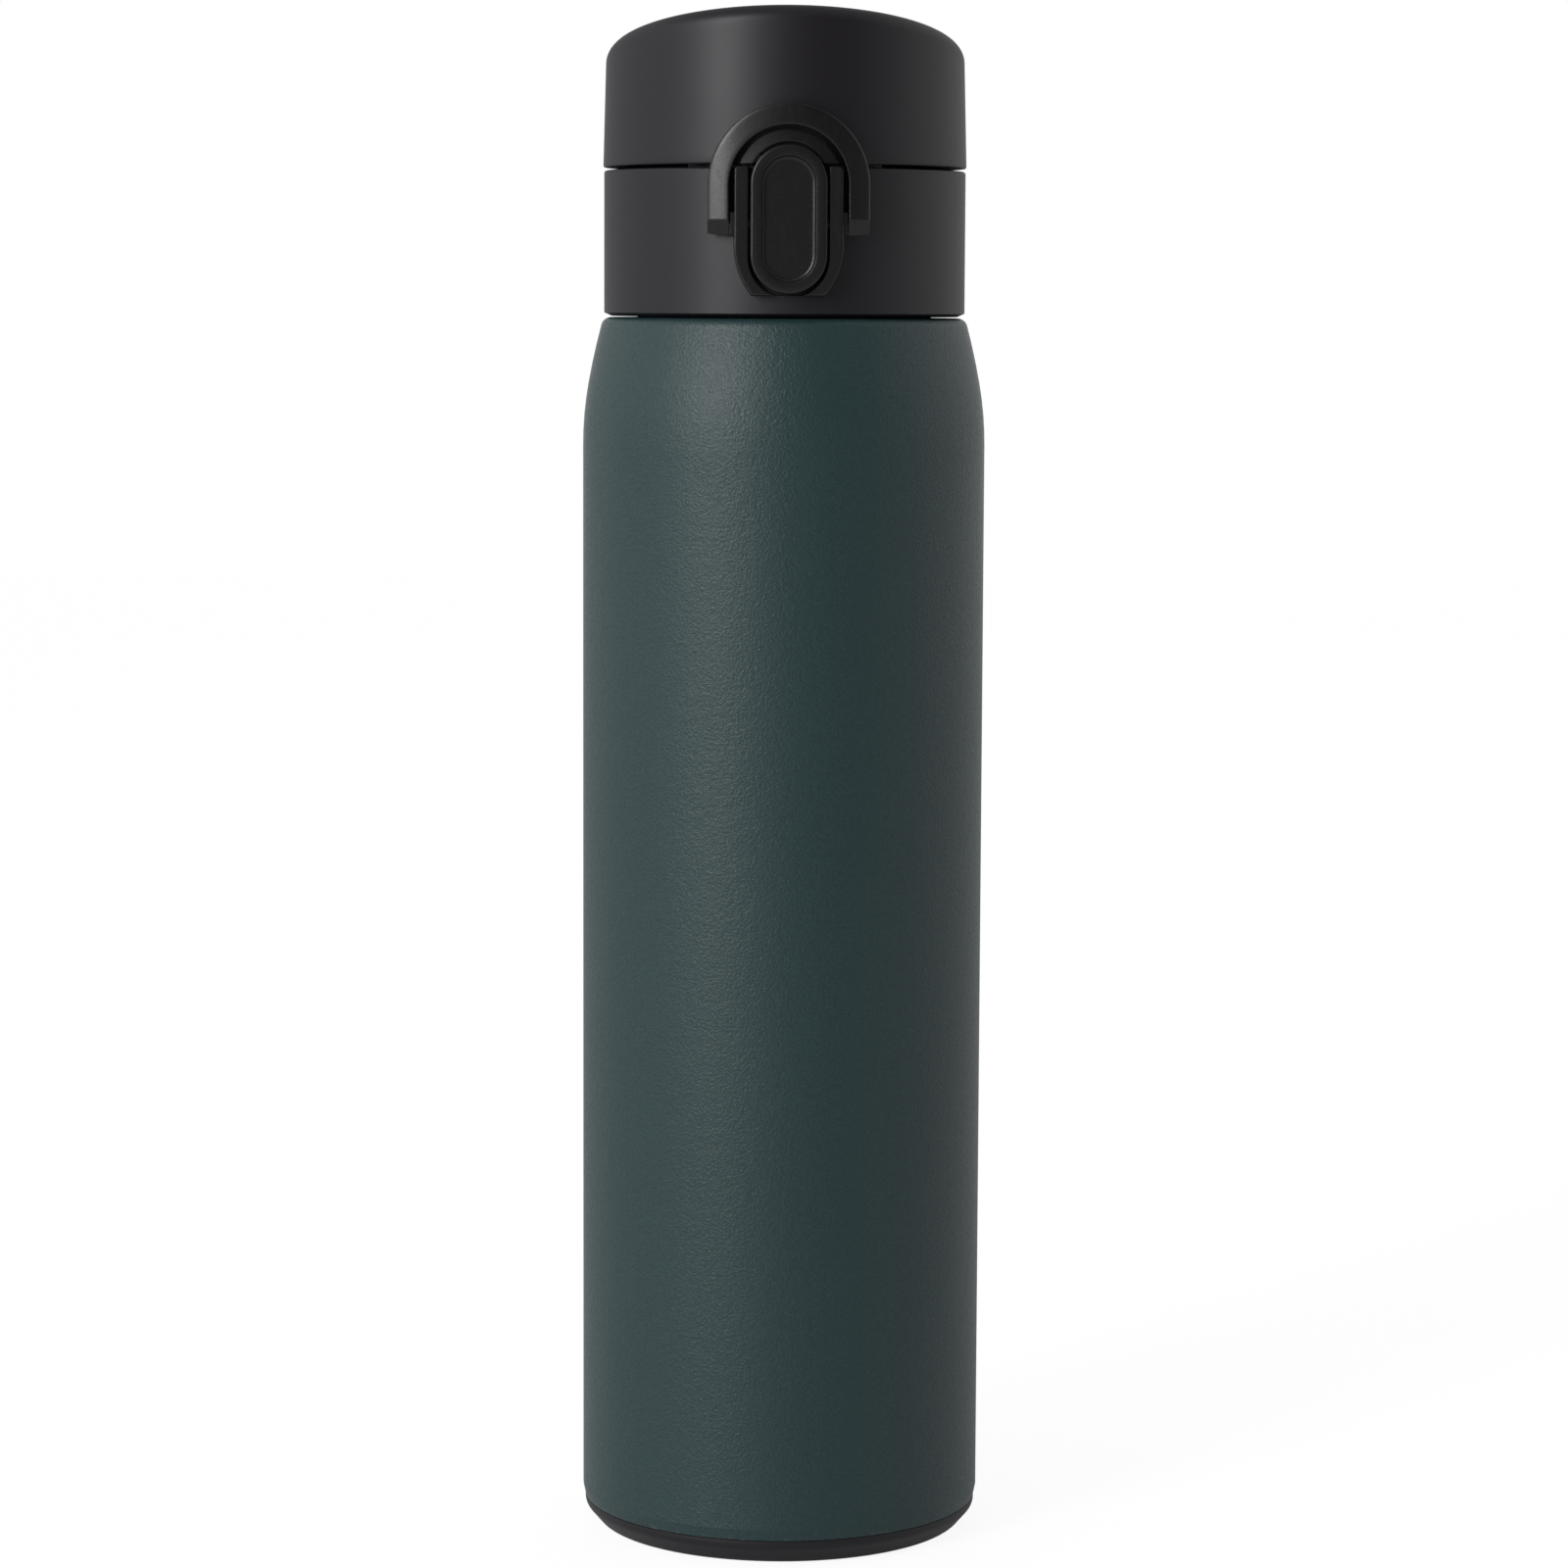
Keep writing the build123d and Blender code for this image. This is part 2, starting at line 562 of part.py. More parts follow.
def housing_outline(grow):
    """Front outline of the latch housing: straight rails that round in to a flat foot."""
    half = HOUSING_HALF + grow
    foot = half - HOUSING_FOOT
    low = HOUSING_BOTTOM_Z - grow
    corner_z = HOUSING_BOTTOM_Z + HOUSING_CORNER_H
    bend = (half - HOUSING_BEND_IN, low + HOUSING_BEND_UP)
    top = COLLAR_TOP_Z
    right = ThreePointArc((foot, low), bend, (half, corner_z))
    left = ThreePointArc((-half, corner_z), (-bend[0], bend[1]), (-foot, low))
    outline = [
        right,
        Line((half, corner_z), (half, top)),
        Line((half, top), (-half, top)),
        Line((-half, top), (-half, corner_z)),
        left,
        Line((-foot, low), (foot, low)),
    ]
    return make_face(outline)


def make_collar_shell():
    collar = disc(COLLAR_R, COLLAR_BOTTOM_Z, COLLAR_TOP_Z)
    collar = fillet(collar.faces().sort_by(Axis.Z)[-1].edges(), COLLAR_EDGE_R)
    collar -= bevel_below(COLLAR_R, COLLAR_FOOT_IN, COLLAR_BOTTOM_Z, COLLAR_FOOT_RISE)
    collar -= disc(COLLAR_INNER_R, COLLAR_BOTTOM_Z, DECK_BOTTOM_Z)
    collar -= disc(SPOUT_R + MOUTH_CLEARANCE, DECK_BOTTOM_Z, COLLAR_TOP_Z)
    window = forward(housing_outline(HOUSING_FIT)) - disc(HOUSING_BACK_R - HOUSING_FIT, 0, LID_AXIS_Z)
    collar -= window + block(
        -HOUSING_HALF - HOUSING_FIT,
        HOUSING_HALF + HOUSING_FIT,
        -FAR,
        -HOUSING_BACK_R + HOUSING_FIT,
        COLLAR_TOP_Z - DECK_T,
        COLLAR_TOP_Z + DECK_T,
    )
    collar -= hinge_notch(0, COLLAR_KNUCKLE_X)
    leg_relief = cross_rod(LEG_END_R + LEG_END_GAP, RING_HALF + LEG_END_GAP, PIVOT_Y, PIVOT_Z)
    collar -= leg_relief
    return collar + both_sides(collar_knuckle()) - cross_rod(
        HINGE_PIN_R + PIN_FIT, HINGE_HALF, HINGE_Y, HINGE_Z
    )


def make_thread_sleeve():
    sleeve = tube(SLEEVE_R, SLEEVE_BORE_R, SLEEVE_BOTTOM_Z, SLEEVE_FLANGE_Z)
    sleeve += tube(SLEEVE_R, SPOUT_R + MOUTH_CLEARANCE, SLEEVE_FLANGE_Z, DECK_BOTTOM_Z)
    start_z = THREAD_Z - THREAD_LEAD / THREAD_STARTS / 2
    for rib in thread_ribs(SLEEVE_BORE_R, SLEEVE_BORE_R - THREAD_DEPTH, start_z):
        sleeve += rib
    return sleeve


def make_mouthpiece():
    lip_top = LID_AXIS_Z + SPOUT_R * math.tan(math.radians(LID_SLANT))
    plug_in = PLUG_R - PLUG_WALL
    bore = SPOUT_R - SPOUT_WALL
    outline = Polyline(
        (plug_in, PLUG_BOTTOM_Z),
        (PLUG_R, PLUG_BOTTOM_Z),
        (PLUG_R, FLANGE_BOTTOM_Z),
        (FLANGE_R, FLANGE_BOTTOM_Z),
        (FLANGE_R, FLANGE_TOP_Z),
        (SPOUT_R, FLANGE_TOP_Z),
        (SPOUT_R, lip_top),
        (bore, lip_top),
        (bore, FLANGE_TOP_Z),
        (plug_in, FLANGE_BOTTOM_Z - PLUG_WALL),
        close=True,
    )
    spout = spin(make_face(outline)) & below_slant(LIP_LEVEL)
    lip = spout.faces().sort_by(Axis.Z)[-1]
    return fillet(lip.edges(), SPOUT_LIP_R)


def make_mouthpiece_gasket():
    low = NECK_TOP_Z + SOFT_GAP
    ring = tube(FLANGE_R, PLUG_R + SOFT_GAP / 2, low, FLANGE_BOTTOM_Z)
    return fillet(ring.faces().sort_by(Axis.Z)[0].edges(), GASKET_EDGE_R)


def make_latch_housing():
    core = disc(HOUSING_BACK_R, 0, LID_AXIS_Z)
    body = forward(housing_outline(0)) - core - ahead(HOUSING_R)
    pocket = forward(slot(POCKET_HALF, POCKET_BOTTOM_Z, LID_AXIS_Z)) - disc(POCKET_FLOOR_R, 0, LID_AXIS_Z)
    hubs = cross_rod(LEG_END_R, RING_INNER_HALF - HOUSING_HUB_GAP, PIVOT_Y, PIVOT_Z)
    hubs = hubs - core - ahead(HOUSING_R - HOUSING_HUB_DROP)
    body = body - pocket
    body += hubs - pocket
    return body - cross_rod(LATCH_PIN_R + PIN_FIT, LATCH_PIN_HALF, PIVOT_Y, PIVOT_Z)


def make_button():
    shape = forward(slot(BUTTON_HALF, BUTTON_BOTTOM_Z, BUTTON_TOP_Z))
    body = shape - disc(BUTTON_BACK_R, 0, LID_AXIS_Z) - ahead(BUTTON_R)
    body = fillet(flat_edges(body, BUTTON_R), BUTTON_EDGE_R)
    rim = flat_edges(body, BUTTON_R)
    body -= forward(slot(DISH_HALF, DISH_BOTTOM_Z, DISH_TOP_Z)) & ahead(DISH_R)
    body = chamfer([e for e in flat_edges(body, BUTTON_R) if e not in rim], DISH_SLOPE)
    body -= disc(BUTTON_TOP_BACK_R, BUTTON_STEP_Z, LID_AXIS_Z)
    nose = tube(BUTTON_R - OVERCUT, NOSE_R, NOSE_Z, NOSE_Z + NOSE_H)
    body += nose & block(-NOSE_HALF, NOSE_HALF, -FAR, 0, NOSE_Z, NOSE_Z + NOSE_H)
    hub = cross_rod(HUB_R, BUTTON_HALF - HUB_INSET, PIVOT_Y, PIVOT_Z)
    body += hub
    well = Pos(0, -BUTTON_BACK_R + OVERCUT, BUTTON_SPRING_Z) * Rot(90, 0, 0) * Cylinder(
        SPRING_WELL_R,
        SPRING_WELL_END_R - BUTTON_BACK_R + OVERCUT,
        align=(Align.CENTER, Align.CENTER, Align.MIN),
    )
    body -= well
    return body - cross_rod(LATCH_PIN_R + PIN_FIT, RING_HALF, PIVOT_Y, PIVOT_Z)


def make_button_spring():
    start = POCKET_FLOOR_R + BUTTON_SPRING_WIRE_R + PIN_FIT
    length = SPRING_WELL_END_R - PIN_FIT - BUTTON_SPRING_WIRE_R - start
    wire = coil(BUTTON_SPRING_R, BUTTON_SPRING_WIRE_R, length / BUTTON_SPRING_TURNS, length)
    return Pos(0, -start, BUTTON_SPRING_Z) * Rot(90, 0, 0) * wire


def make_latch_pin():
    return cross_rod(LATCH_PIN_R, LATCH_PIN_HALF, PIVOT_Y, PIVOT_Z)


def make_lock_ring():
    # The legs are drawn longer than they end up, so only their long edges are rounded.
    low = PIVOT_Z - 3 * LEG_END_R
    outline = arch(RING_HALF, low, RING_TOP_Z)
    outline -= arch(RING_INNER_HALF, low - OVERCUT, RING_TOP_Z - RING_HALF + RING_INNER_HALF)
    ring = forward(outline) & tube(RING_R, RING_BACK_R, 0, LID_AXIS_Z)
    long_edges = [e for e in front_edges(ring, RING_R) if e.center().Z > low + SAME]
    ring = fillet(long_edges, RING_EDGE_R)
    relief = block(-RING_RELIEF_HALF, RING_RELIEF_HALF, -FAR, 0, PIVOT_Z, LID_AXIS_Z)
    ring -= relief & disc(RING_RELIEF_R, 0, LID_AXIS_Z)
    foot = block(-RING_HALF, RING_HALF, -FAR, 0, low - OVERCUT, PIVOT_Z)
    ring -= foot - cross_rod(LEG_END_R, FAR, PIVOT_Y, PIVOT_Z)
    ring -= bevel_below(RING_R, LEG_CHAMFER_RUN, PIVOT_Z - LEG_END_R, LEG_END_R + LEG_CHAMFER_RISE)
    return ring - cross_rod(LATCH_PIN_R + PIN_FIT, LATCH_PIN_HALF + PIN_FIT, PIVOT_Y, PIVOT_Z)


def make_hinge_pin():
    return cross_rod(HINGE_PIN_R, HINGE_HALF, HINGE_Y, HINGE_Z)


def make_lid_spring():
    length = 2 * (TORSION_HALF - TORSION_WIRE_R)
    wire = coil(TORSION_R, TORSION_WIRE_R, TORSION_PITCH, length)
    return Pos(-length / 2, HINGE_Y, HINGE_Z) * Rot(0, 90, 0) * wire


def make_lid_shell():
    outer = lid_cone(0, LID_BOTTOM_Z) & below_slant(0)
    outer = fillet(outer.faces().sort_by(Axis.Z)[-1].edges(), LID_EDGE_R)
    inner = lid_cone(LID_WALL, LID_BOTTOM_Z - OVERCUT) & below_slant(-LID_WALL)
    inner = fillet(inner.faces().sort_by(Axis.Z)[-1].edges(), LID_INNER_EDGE_R)
    lid = outer - inner
    lid -= hinge_notch(0, HINGE_HALF + KNUCKLE_GAP)
    return lid + both_sides(lid_knuckle()) - cross_rod(
        HINGE_PIN_R + PIN_FIT, HINGE_HALF, HINGE_Y, HINGE_Z
    )


def make_lid_liner():
    plate_top = -LID_WALL - LINER_FIT
    inset = LID_WALL + LINER_FIT
    core = lid_cone(inset, LID_LINER_SKIRT_Z) & below_slant(plate_top)
    core = fillet(core.faces().sort_by(Axis.Z)[-1].edges(), LID_INNER_EDGE_R)
    hollow = lid_cone(inset + LID_LINER_SKIRT_T, LID_LINER_SKIRT_Z - OVERCUT)
    hollow = hollow & below_slant(plate_top - LID_LINER_T)
    liner = core - hollow
    holder_r = SEAL_R + SOFT_GAP / 2
    holder = slanted(plate_top - LID_LINER_T / 2 - SEAL_HOLDER_DEPTH) * tube(
        holder_r + SEAL_HOLDER_W, holder_r, 0, SEAL_HOLDER_DEPTH
    )
    liner += holder
    return liner - hinge_notch(0, HINGE_HALF + KNUCKLE_GAP)


def make_lid_seal():
    pad = slanted(SEAL_TOP - SEAL_T) * disc(SEAL_R, 0, SEAL_T)
    pad = fillet(pad.edges(), SEAL_EDGE_R)
    hollow_r = SPOUT_R - SPOUT_WALL - SEAL_LIP_W
    return pad - slanted(SEAL_TOP - SEAL_T) * disc(hollow_r, 0, SEAL_HOLLOW)


def make_lid_catch():
    outer = Pos(0, CATCH_TOP_Z - CATCH_HALF) * Circle(CATCH_HALF)
    inner = Pos(0, BUTTON_TOP_Z + CATCH_GAP - POCKET_HALF) * Circle(POCKET_HALF)
    catch = forward(outer - inner) & disc(CATCH_R, LID_BOTTOM_Z, LID_AXIS_Z)
    arches = [e for e in front_edges(catch, CATCH_R) if e.center().Z > LID_BOTTOM_Z + SAME]
    catch = fillet(arches, LATCH_EDGE_R)
    lug = forward(Pos(0, LUG_TOP_Z - LUG_H / 2) * Rectangle(2 * (POCKET_HALF + LUG_BITE), LUG_H))
    catch += lug & disc(LUG_R, 0, LID_AXIS_Z)
    return catch - lid_cone(-CATCH_SEAT, LID_BOTTOM_Z - OVERCUT)


PIECES = {
    "outer_shell": make_outer_shell,
    "inner_liner": make_inner_liner,
    "outer_bottom": make_outer_bottom,
    "getter": make_getter,
    "vacuum_seal": make_vacuum_seal,
    "base_boot": make_base_boot,
    "collar_shell": make_collar_shell,
    "thread_sleeve": make_thread_sleeve,
    "mouthpiece": make_mouthpiece,
    "mouthpiece_gasket": make_mouthpiece_gasket,
    "latch_housing": make_latch_housing,
    "button": make_button,
    "button_spring": make_button_spring,
    "latch_pin": make_latch_pin,
    "lock_ring": make_lock_ring,
    "hinge_pin": make_hinge_pin,
    "lid_spring": make_lid_spring,
    "lid_shell": make_lid_shell,
    "lid_liner": make_lid_liner,
    "lid_seal": make_lid_seal,
    "lid_catch": make_lid_catch,
}


def main():
    os.makedirs("parts", exist_ok=True)
    for name, make in PIECES.items():
        piece = make()
        print(f"{name}: {len(piece.solids())} solid, {piece.volume:.1f} mm3, valid {piece.is_valid}")
        export_step(piece, f"parts/{name}.step")


main()
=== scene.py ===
"""Vacuum flask with a push-button lid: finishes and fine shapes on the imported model."""

import math

import bmesh
import bpy
from mathutils import Matrix, Vector


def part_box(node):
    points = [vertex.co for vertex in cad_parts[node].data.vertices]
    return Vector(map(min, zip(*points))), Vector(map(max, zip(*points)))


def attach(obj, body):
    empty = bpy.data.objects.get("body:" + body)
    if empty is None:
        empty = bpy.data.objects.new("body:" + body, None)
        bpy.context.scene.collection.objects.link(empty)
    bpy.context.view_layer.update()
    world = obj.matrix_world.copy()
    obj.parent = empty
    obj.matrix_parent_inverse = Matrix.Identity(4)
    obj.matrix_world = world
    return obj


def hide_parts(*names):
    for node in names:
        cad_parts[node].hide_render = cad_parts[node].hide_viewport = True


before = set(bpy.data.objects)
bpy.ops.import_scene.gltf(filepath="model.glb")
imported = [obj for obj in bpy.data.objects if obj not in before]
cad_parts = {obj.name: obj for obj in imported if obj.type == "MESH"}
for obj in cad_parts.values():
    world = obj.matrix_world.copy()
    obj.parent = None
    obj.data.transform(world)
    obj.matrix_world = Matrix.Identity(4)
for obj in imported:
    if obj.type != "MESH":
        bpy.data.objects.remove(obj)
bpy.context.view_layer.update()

bl_info = {
    "name": "Push-button vacuum flask",
    "version": (1, 0, 0),
    "blender": (4, 5, 0),
    "location": "3D View > Sidebar > Flask",
    "description": "Adds the finishes and fine shapes of a push-button vacuum flask",
    "category": "Object",
}

MM = 0.001
AROUND = 256  # steps around the flask's axis
ROUND = 64  # steps around a pin or a barrel
SHARP = math.radians(35)  # faces that meet at more than this keep a crease
WELD = 0.002 * MM
SLOT_ARC = 40  # steps around a stadium's end
SLOT_SIDE = 16  # steps along its side


def low(node):
    return Vector(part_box(node)[0])


def high(node):
    return Vector(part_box(node)[1])


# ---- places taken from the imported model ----
BODY_FOOT_Z = low("outer_shell").z
LID_R = high("lid_shell").x
LID_FOOT_Z = low("lid_catch").z
HINGE_Y = (low("hinge_pin").y + high("hinge_pin").y) / 2
HINGE_Z = (low("hinge_pin").z + high("hinge_pin").z) / 2
HINGE_PIN_R = (high("hinge_pin").z - low("hinge_pin").z) / 2
PIVOT_Y = (low("latch_pin").y + high("latch_pin").y) / 2
PIVOT_Z = (low("latch_pin").z + high("latch_pin").z) / 2
LID_TOP_AXIS_Z = LID_FOOT_Z + 18.84 * MM
NECK_HEIGHT = 15.75 * MM
BARE_NECK_Z = high("outer_shell").z - NECK_HEIGHT + 0.5 * MM  # the neck isn't painted above this
BARE_NECK_RADII = (24.0 * MM, 24.3 * MM)  # the paint ends between these

# ---- hinge ----
KNUCKLE_R = 3.0 * MM
KNUCKLE_GAP = 0.4 * MM
KNUCKLE_X = 3.1 * MM
KNUCKLE_W = 2.6 * MM
KNUCKLE_EDGE = 0.3 * MM
KNUCKLE_BORE = 1.04  # in pin radii
NOTCH_HALF = 9.9 * MM
WEB_H = 4.6 * MM
WEB_EDGE = 0.25 * MM
WEB = (  # outline of a knuckle's web: out in knuckle radii, up from the pin
    (-0.55, 0.2 * MM),
    (0.86, 0.2 * MM),
    (0.5, WEB_H),
    (-0.55, WEB_H + 0.6 * MM),
)

# ---- latch ----
COLLAR_R = LID_R - 0.12 * MM
HOUSING_R = COLLAR_R + 1.8 * MM
HOUSING_BACK_R = COLLAR_R - 2.45 * MM
POCKET_FLOOR_R = HOUSING_BACK_R + 0.85 * MM
POCKET_HALF = high("button").x + 0.35 * MM
HOUSING_HALF = POCKET_HALF + 2.16 * MM
HOUSING_FOOT_Z = low("button").z - 0.28 * MM
POCKET_RISE = 5.89 * MM  # middle of the pocket's round end above the foot
FLOOR_BITE = 0.4 * MM  # how far the pocket's floor reaches into the rails
FOOT_IN = 2.78 * MM
BEND_IN = 0.7 * MM
BEND_UP = 3.7 * MM
CORNER_H = 8.8 * MM
RAIL_TOP_R = 0.6 * MM
HUB_R = 1.7 * MM
HUB_DROP = 0.5 * MM  # hub behind the rails' front
BUTTON_BACK_R = COLLAR_R - 0.1 * MM
BUTTON_TOP_BACK_R = COLLAR_R + 1.3 * MM
BUTTON_STEP_Z = LID_FOOT_Z - 1.26 * MM  # above this the button's back clears the lid
DISH_BORDER = 1.6 * MM
DISH_LIP = 0.13 * MM
DISH_FOOT = 0.62 * MM
CATCH_R = COLLAR_R + 1.4 * MM
CATCH_HALF = POCKET_HALF + 2.1 * MM
CATCH_GAP = 0.4 * MM
LUG_R = COLLAR_R + 0.62 * MM
LUG_H = 1.1 * MM
LUG_BITE = 0.3 * MM  # how far the lug's ends reach into the catch
LUG_RISE = 0.24 * MM  # lug's lower side above the catch's
LUG_ROOT = 0.8 * MM  # how deep the lug starts in the lid's wall
LUG_EDGE = 0.12 * MM
CATCH_ROOT = 0.6 * MM
CATCH_EDGES = (0.14 * MM, 0.22 * MM)
NOSE_HALF = 2.0 * MM
NOSE_H = 1.0 * MM
NOSE_DROP = 0.25 * MM  # nose's upper side below the button's top
NOSE_DEPTHS = (2.0 * MM, 1.0 * MM)  # nose's back and front behind the button's front
BUTTON_HUB_R = 1.5 * MM
BUTTON_HUB_INSET = 0.4 * MM
RAIL_EDGES = (0.12 * MM, 0.25 * MM)
SMALL_EDGE = 0.1 * MM
RING_R = COLLAR_R + 3.3 * MM
RING_BACK_R = COLLAR_R + 0.5 * MM
RING_INNER_HALF = high("lock_ring").x - 3.3 * MM
RING_RELIEF_R = CATCH_R + 0.3 * MM
RING_RELIEF_HALF = CATCH_HALF + 0.35 * MM
RING_EDGE = 0.26 * MM
LEG_END_R = 1.8 * MM
LEG_FINE_H = 1.2 * MM  # the leg's rows are closer from here down to the pivot
TOE_RISE = 0.5 * MM
TOE_SLOPE = 1.5 / 2.3

# ---- studio ----
KEY_PLACE = (-0.86, -1.0, 0.64)
KEY_AIM = (0.0, 0.0, 0.2)
KEY_SIZE = (0.34, 0.8)
TABLE_RINGS = (2.6, 1.2, 0.5, 0.2, 0.0)
TABLE_GLOW = 1.3  # the table looks white to the camera and keeps the flask's shadow
TABLE_GLOW_SHARE = 0.7
TABLE_MIRRORED = 0.2  # how much of the table's whiteness shows in reflections
BACKDROP_START = 0.92  # how far behind the flask a direction points where the white backdrop begins
BACKDROP_END = 1.0
CEILING = 0.35
WALLS = (  # turn from the back through the left, front and right; brightness
    (0.0, 0.35),
    (0.12, 0.5),
    (0.25, 0.95),
    (0.4, 0.9),
    (0.45, 0.65),
    (0.495, 0.03),
    (0.63, 0.05),
    (0.72, 0.72),
    (0.8, 0.85),
    (1.0, 0.35),
)


class FlaskSizes(bpy.types.PropertyGroup):
    """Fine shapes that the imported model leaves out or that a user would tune."""

    lid_slant: bpy.props.FloatProperty(
        name="Lid slant",
        description="How far the lid's top leans back",
        default=math.radians(12.19),
        subtype="ANGLE",
    )
    lid_draft: bpy.props.FloatProperty(
        name="Lid draft", description="Taper of the lid's wall", default=math.radians(1.45), subtype="ANGLE"
    )
    lid_edge: bpy.props.FloatProperty(
        name="Lid edge", description="Rounding around the lid's top", default=2.46 * MM, unit="LENGTH"
    )
    lid_rim: bpy.props.FloatProperty(
        name="Lid rim", description="Rounding of the lid's lower rim", default=0.3 * MM, unit="LENGTH"
    )
    lid_crown: bpy.props.FloatProperty(
        name="Lid crown",
        description="How far the lid's top domes up from its edge",
        default=0.5 * MM,
        unit="LENGTH",
    )
    lid_wall: bpy.props.FloatProperty(
        name="Lid wall", description="Thickness of the lid's wall", default=1.8 * MM, unit="LENGTH"
    )
    latch_edge: bpy.props.FloatProperty(
        name="Latch edge", description="Rounding of the latch's front edges", default=0.35 * MM, unit="LENGTH"
    )
    dish_depth: bpy.props.FloatProperty(
        name="Dish depth", description="Depth of the button's thumb dish", default=0.8 * MM, unit="LENGTH"
    )
    grain: bpy.props.FloatProperty(
        name="Coat grain", description="Size of the powder coat's grain", default=0.42 * MM, unit="LENGTH"
    )


class FlaskColours(bpy.types.PropertyGroup):
    """Colours of the finishes."""

    coat: bpy.props.FloatVectorProperty(
        name="Powder coat", description="Body paint", default=(0.021, 0.0495, 0.0522), subtype="COLOR"
    )
    satin: bpy.props.FloatVectorProperty(
        name="Satin black",
        description="Lid, collar and base",
        default=(0.0068, 0.005, 0.009),
        subtype="COLOR",
    )
    gloss: bpy.props.FloatVectorProperty(
        name="Gloss black", description="Latch pieces", default=(0.0075, 0.0072, 0.0072), subtype="COLOR"
    )
    steel: bpy.props.FloatVectorProperty(
        name="Steel", description="Bare stainless steel", default=(0.56, 0.55, 0.53), subtype="COLOR"
    )
    grey: bpy.props.FloatVectorProperty(
        name="Grey plastic",
        description="Spout, sleeve and lid lining",
        default=(0.16, 0.165, 0.17),
        subtype="COLOR",
    )
    silicone: bpy.props.FloatVectorProperty(
        name="Silicone", description="Seals", default=(0.48, 0.48, 0.46), subtype="COLOR"
    )


class FlaskStudio(bpy.types.PropertyGroup):
    """Camera and lights."""

    lens: bpy.props.FloatProperty(name="Lens", description="Focal length", default=105.48, unit="CAMERA")
    distance: bpy.props.FloatProperty(
        name="Distance", description="Camera to the flask's axis", default=0.7463, unit="LENGTH"
    )
    height: bpy.props.FloatProperty(
        name="Height", description="Camera above the table", default=0.20184, unit="LENGTH"
    )
    azimuth: bpy.props.FloatProperty(
        name="Azimuth",
        description="Camera's turn to the right of the front",
        default=math.radians(-1.2),
        subtype="ANGLE",
    )
    pan: bpy.props.FloatProperty(
        name="Pan", description="Turn away from the axis", default=math.radians(-0.021), subtype="ANGLE"
    )
    pitch: bpy.props.FloatProperty(
        name="Pitch", description="Tilt down", default=math.radians(6.11), subtype="ANGLE"
    )
    roll: bpy.props.FloatProperty(
        name="Roll", description="Turn about the view line", default=math.radians(0.246), subtype="ANGLE"
    )
    key_power: bpy.props.FloatProperty(
        name="Key power", description="Softbox on the left", default=8.4, unit="POWER"
    )


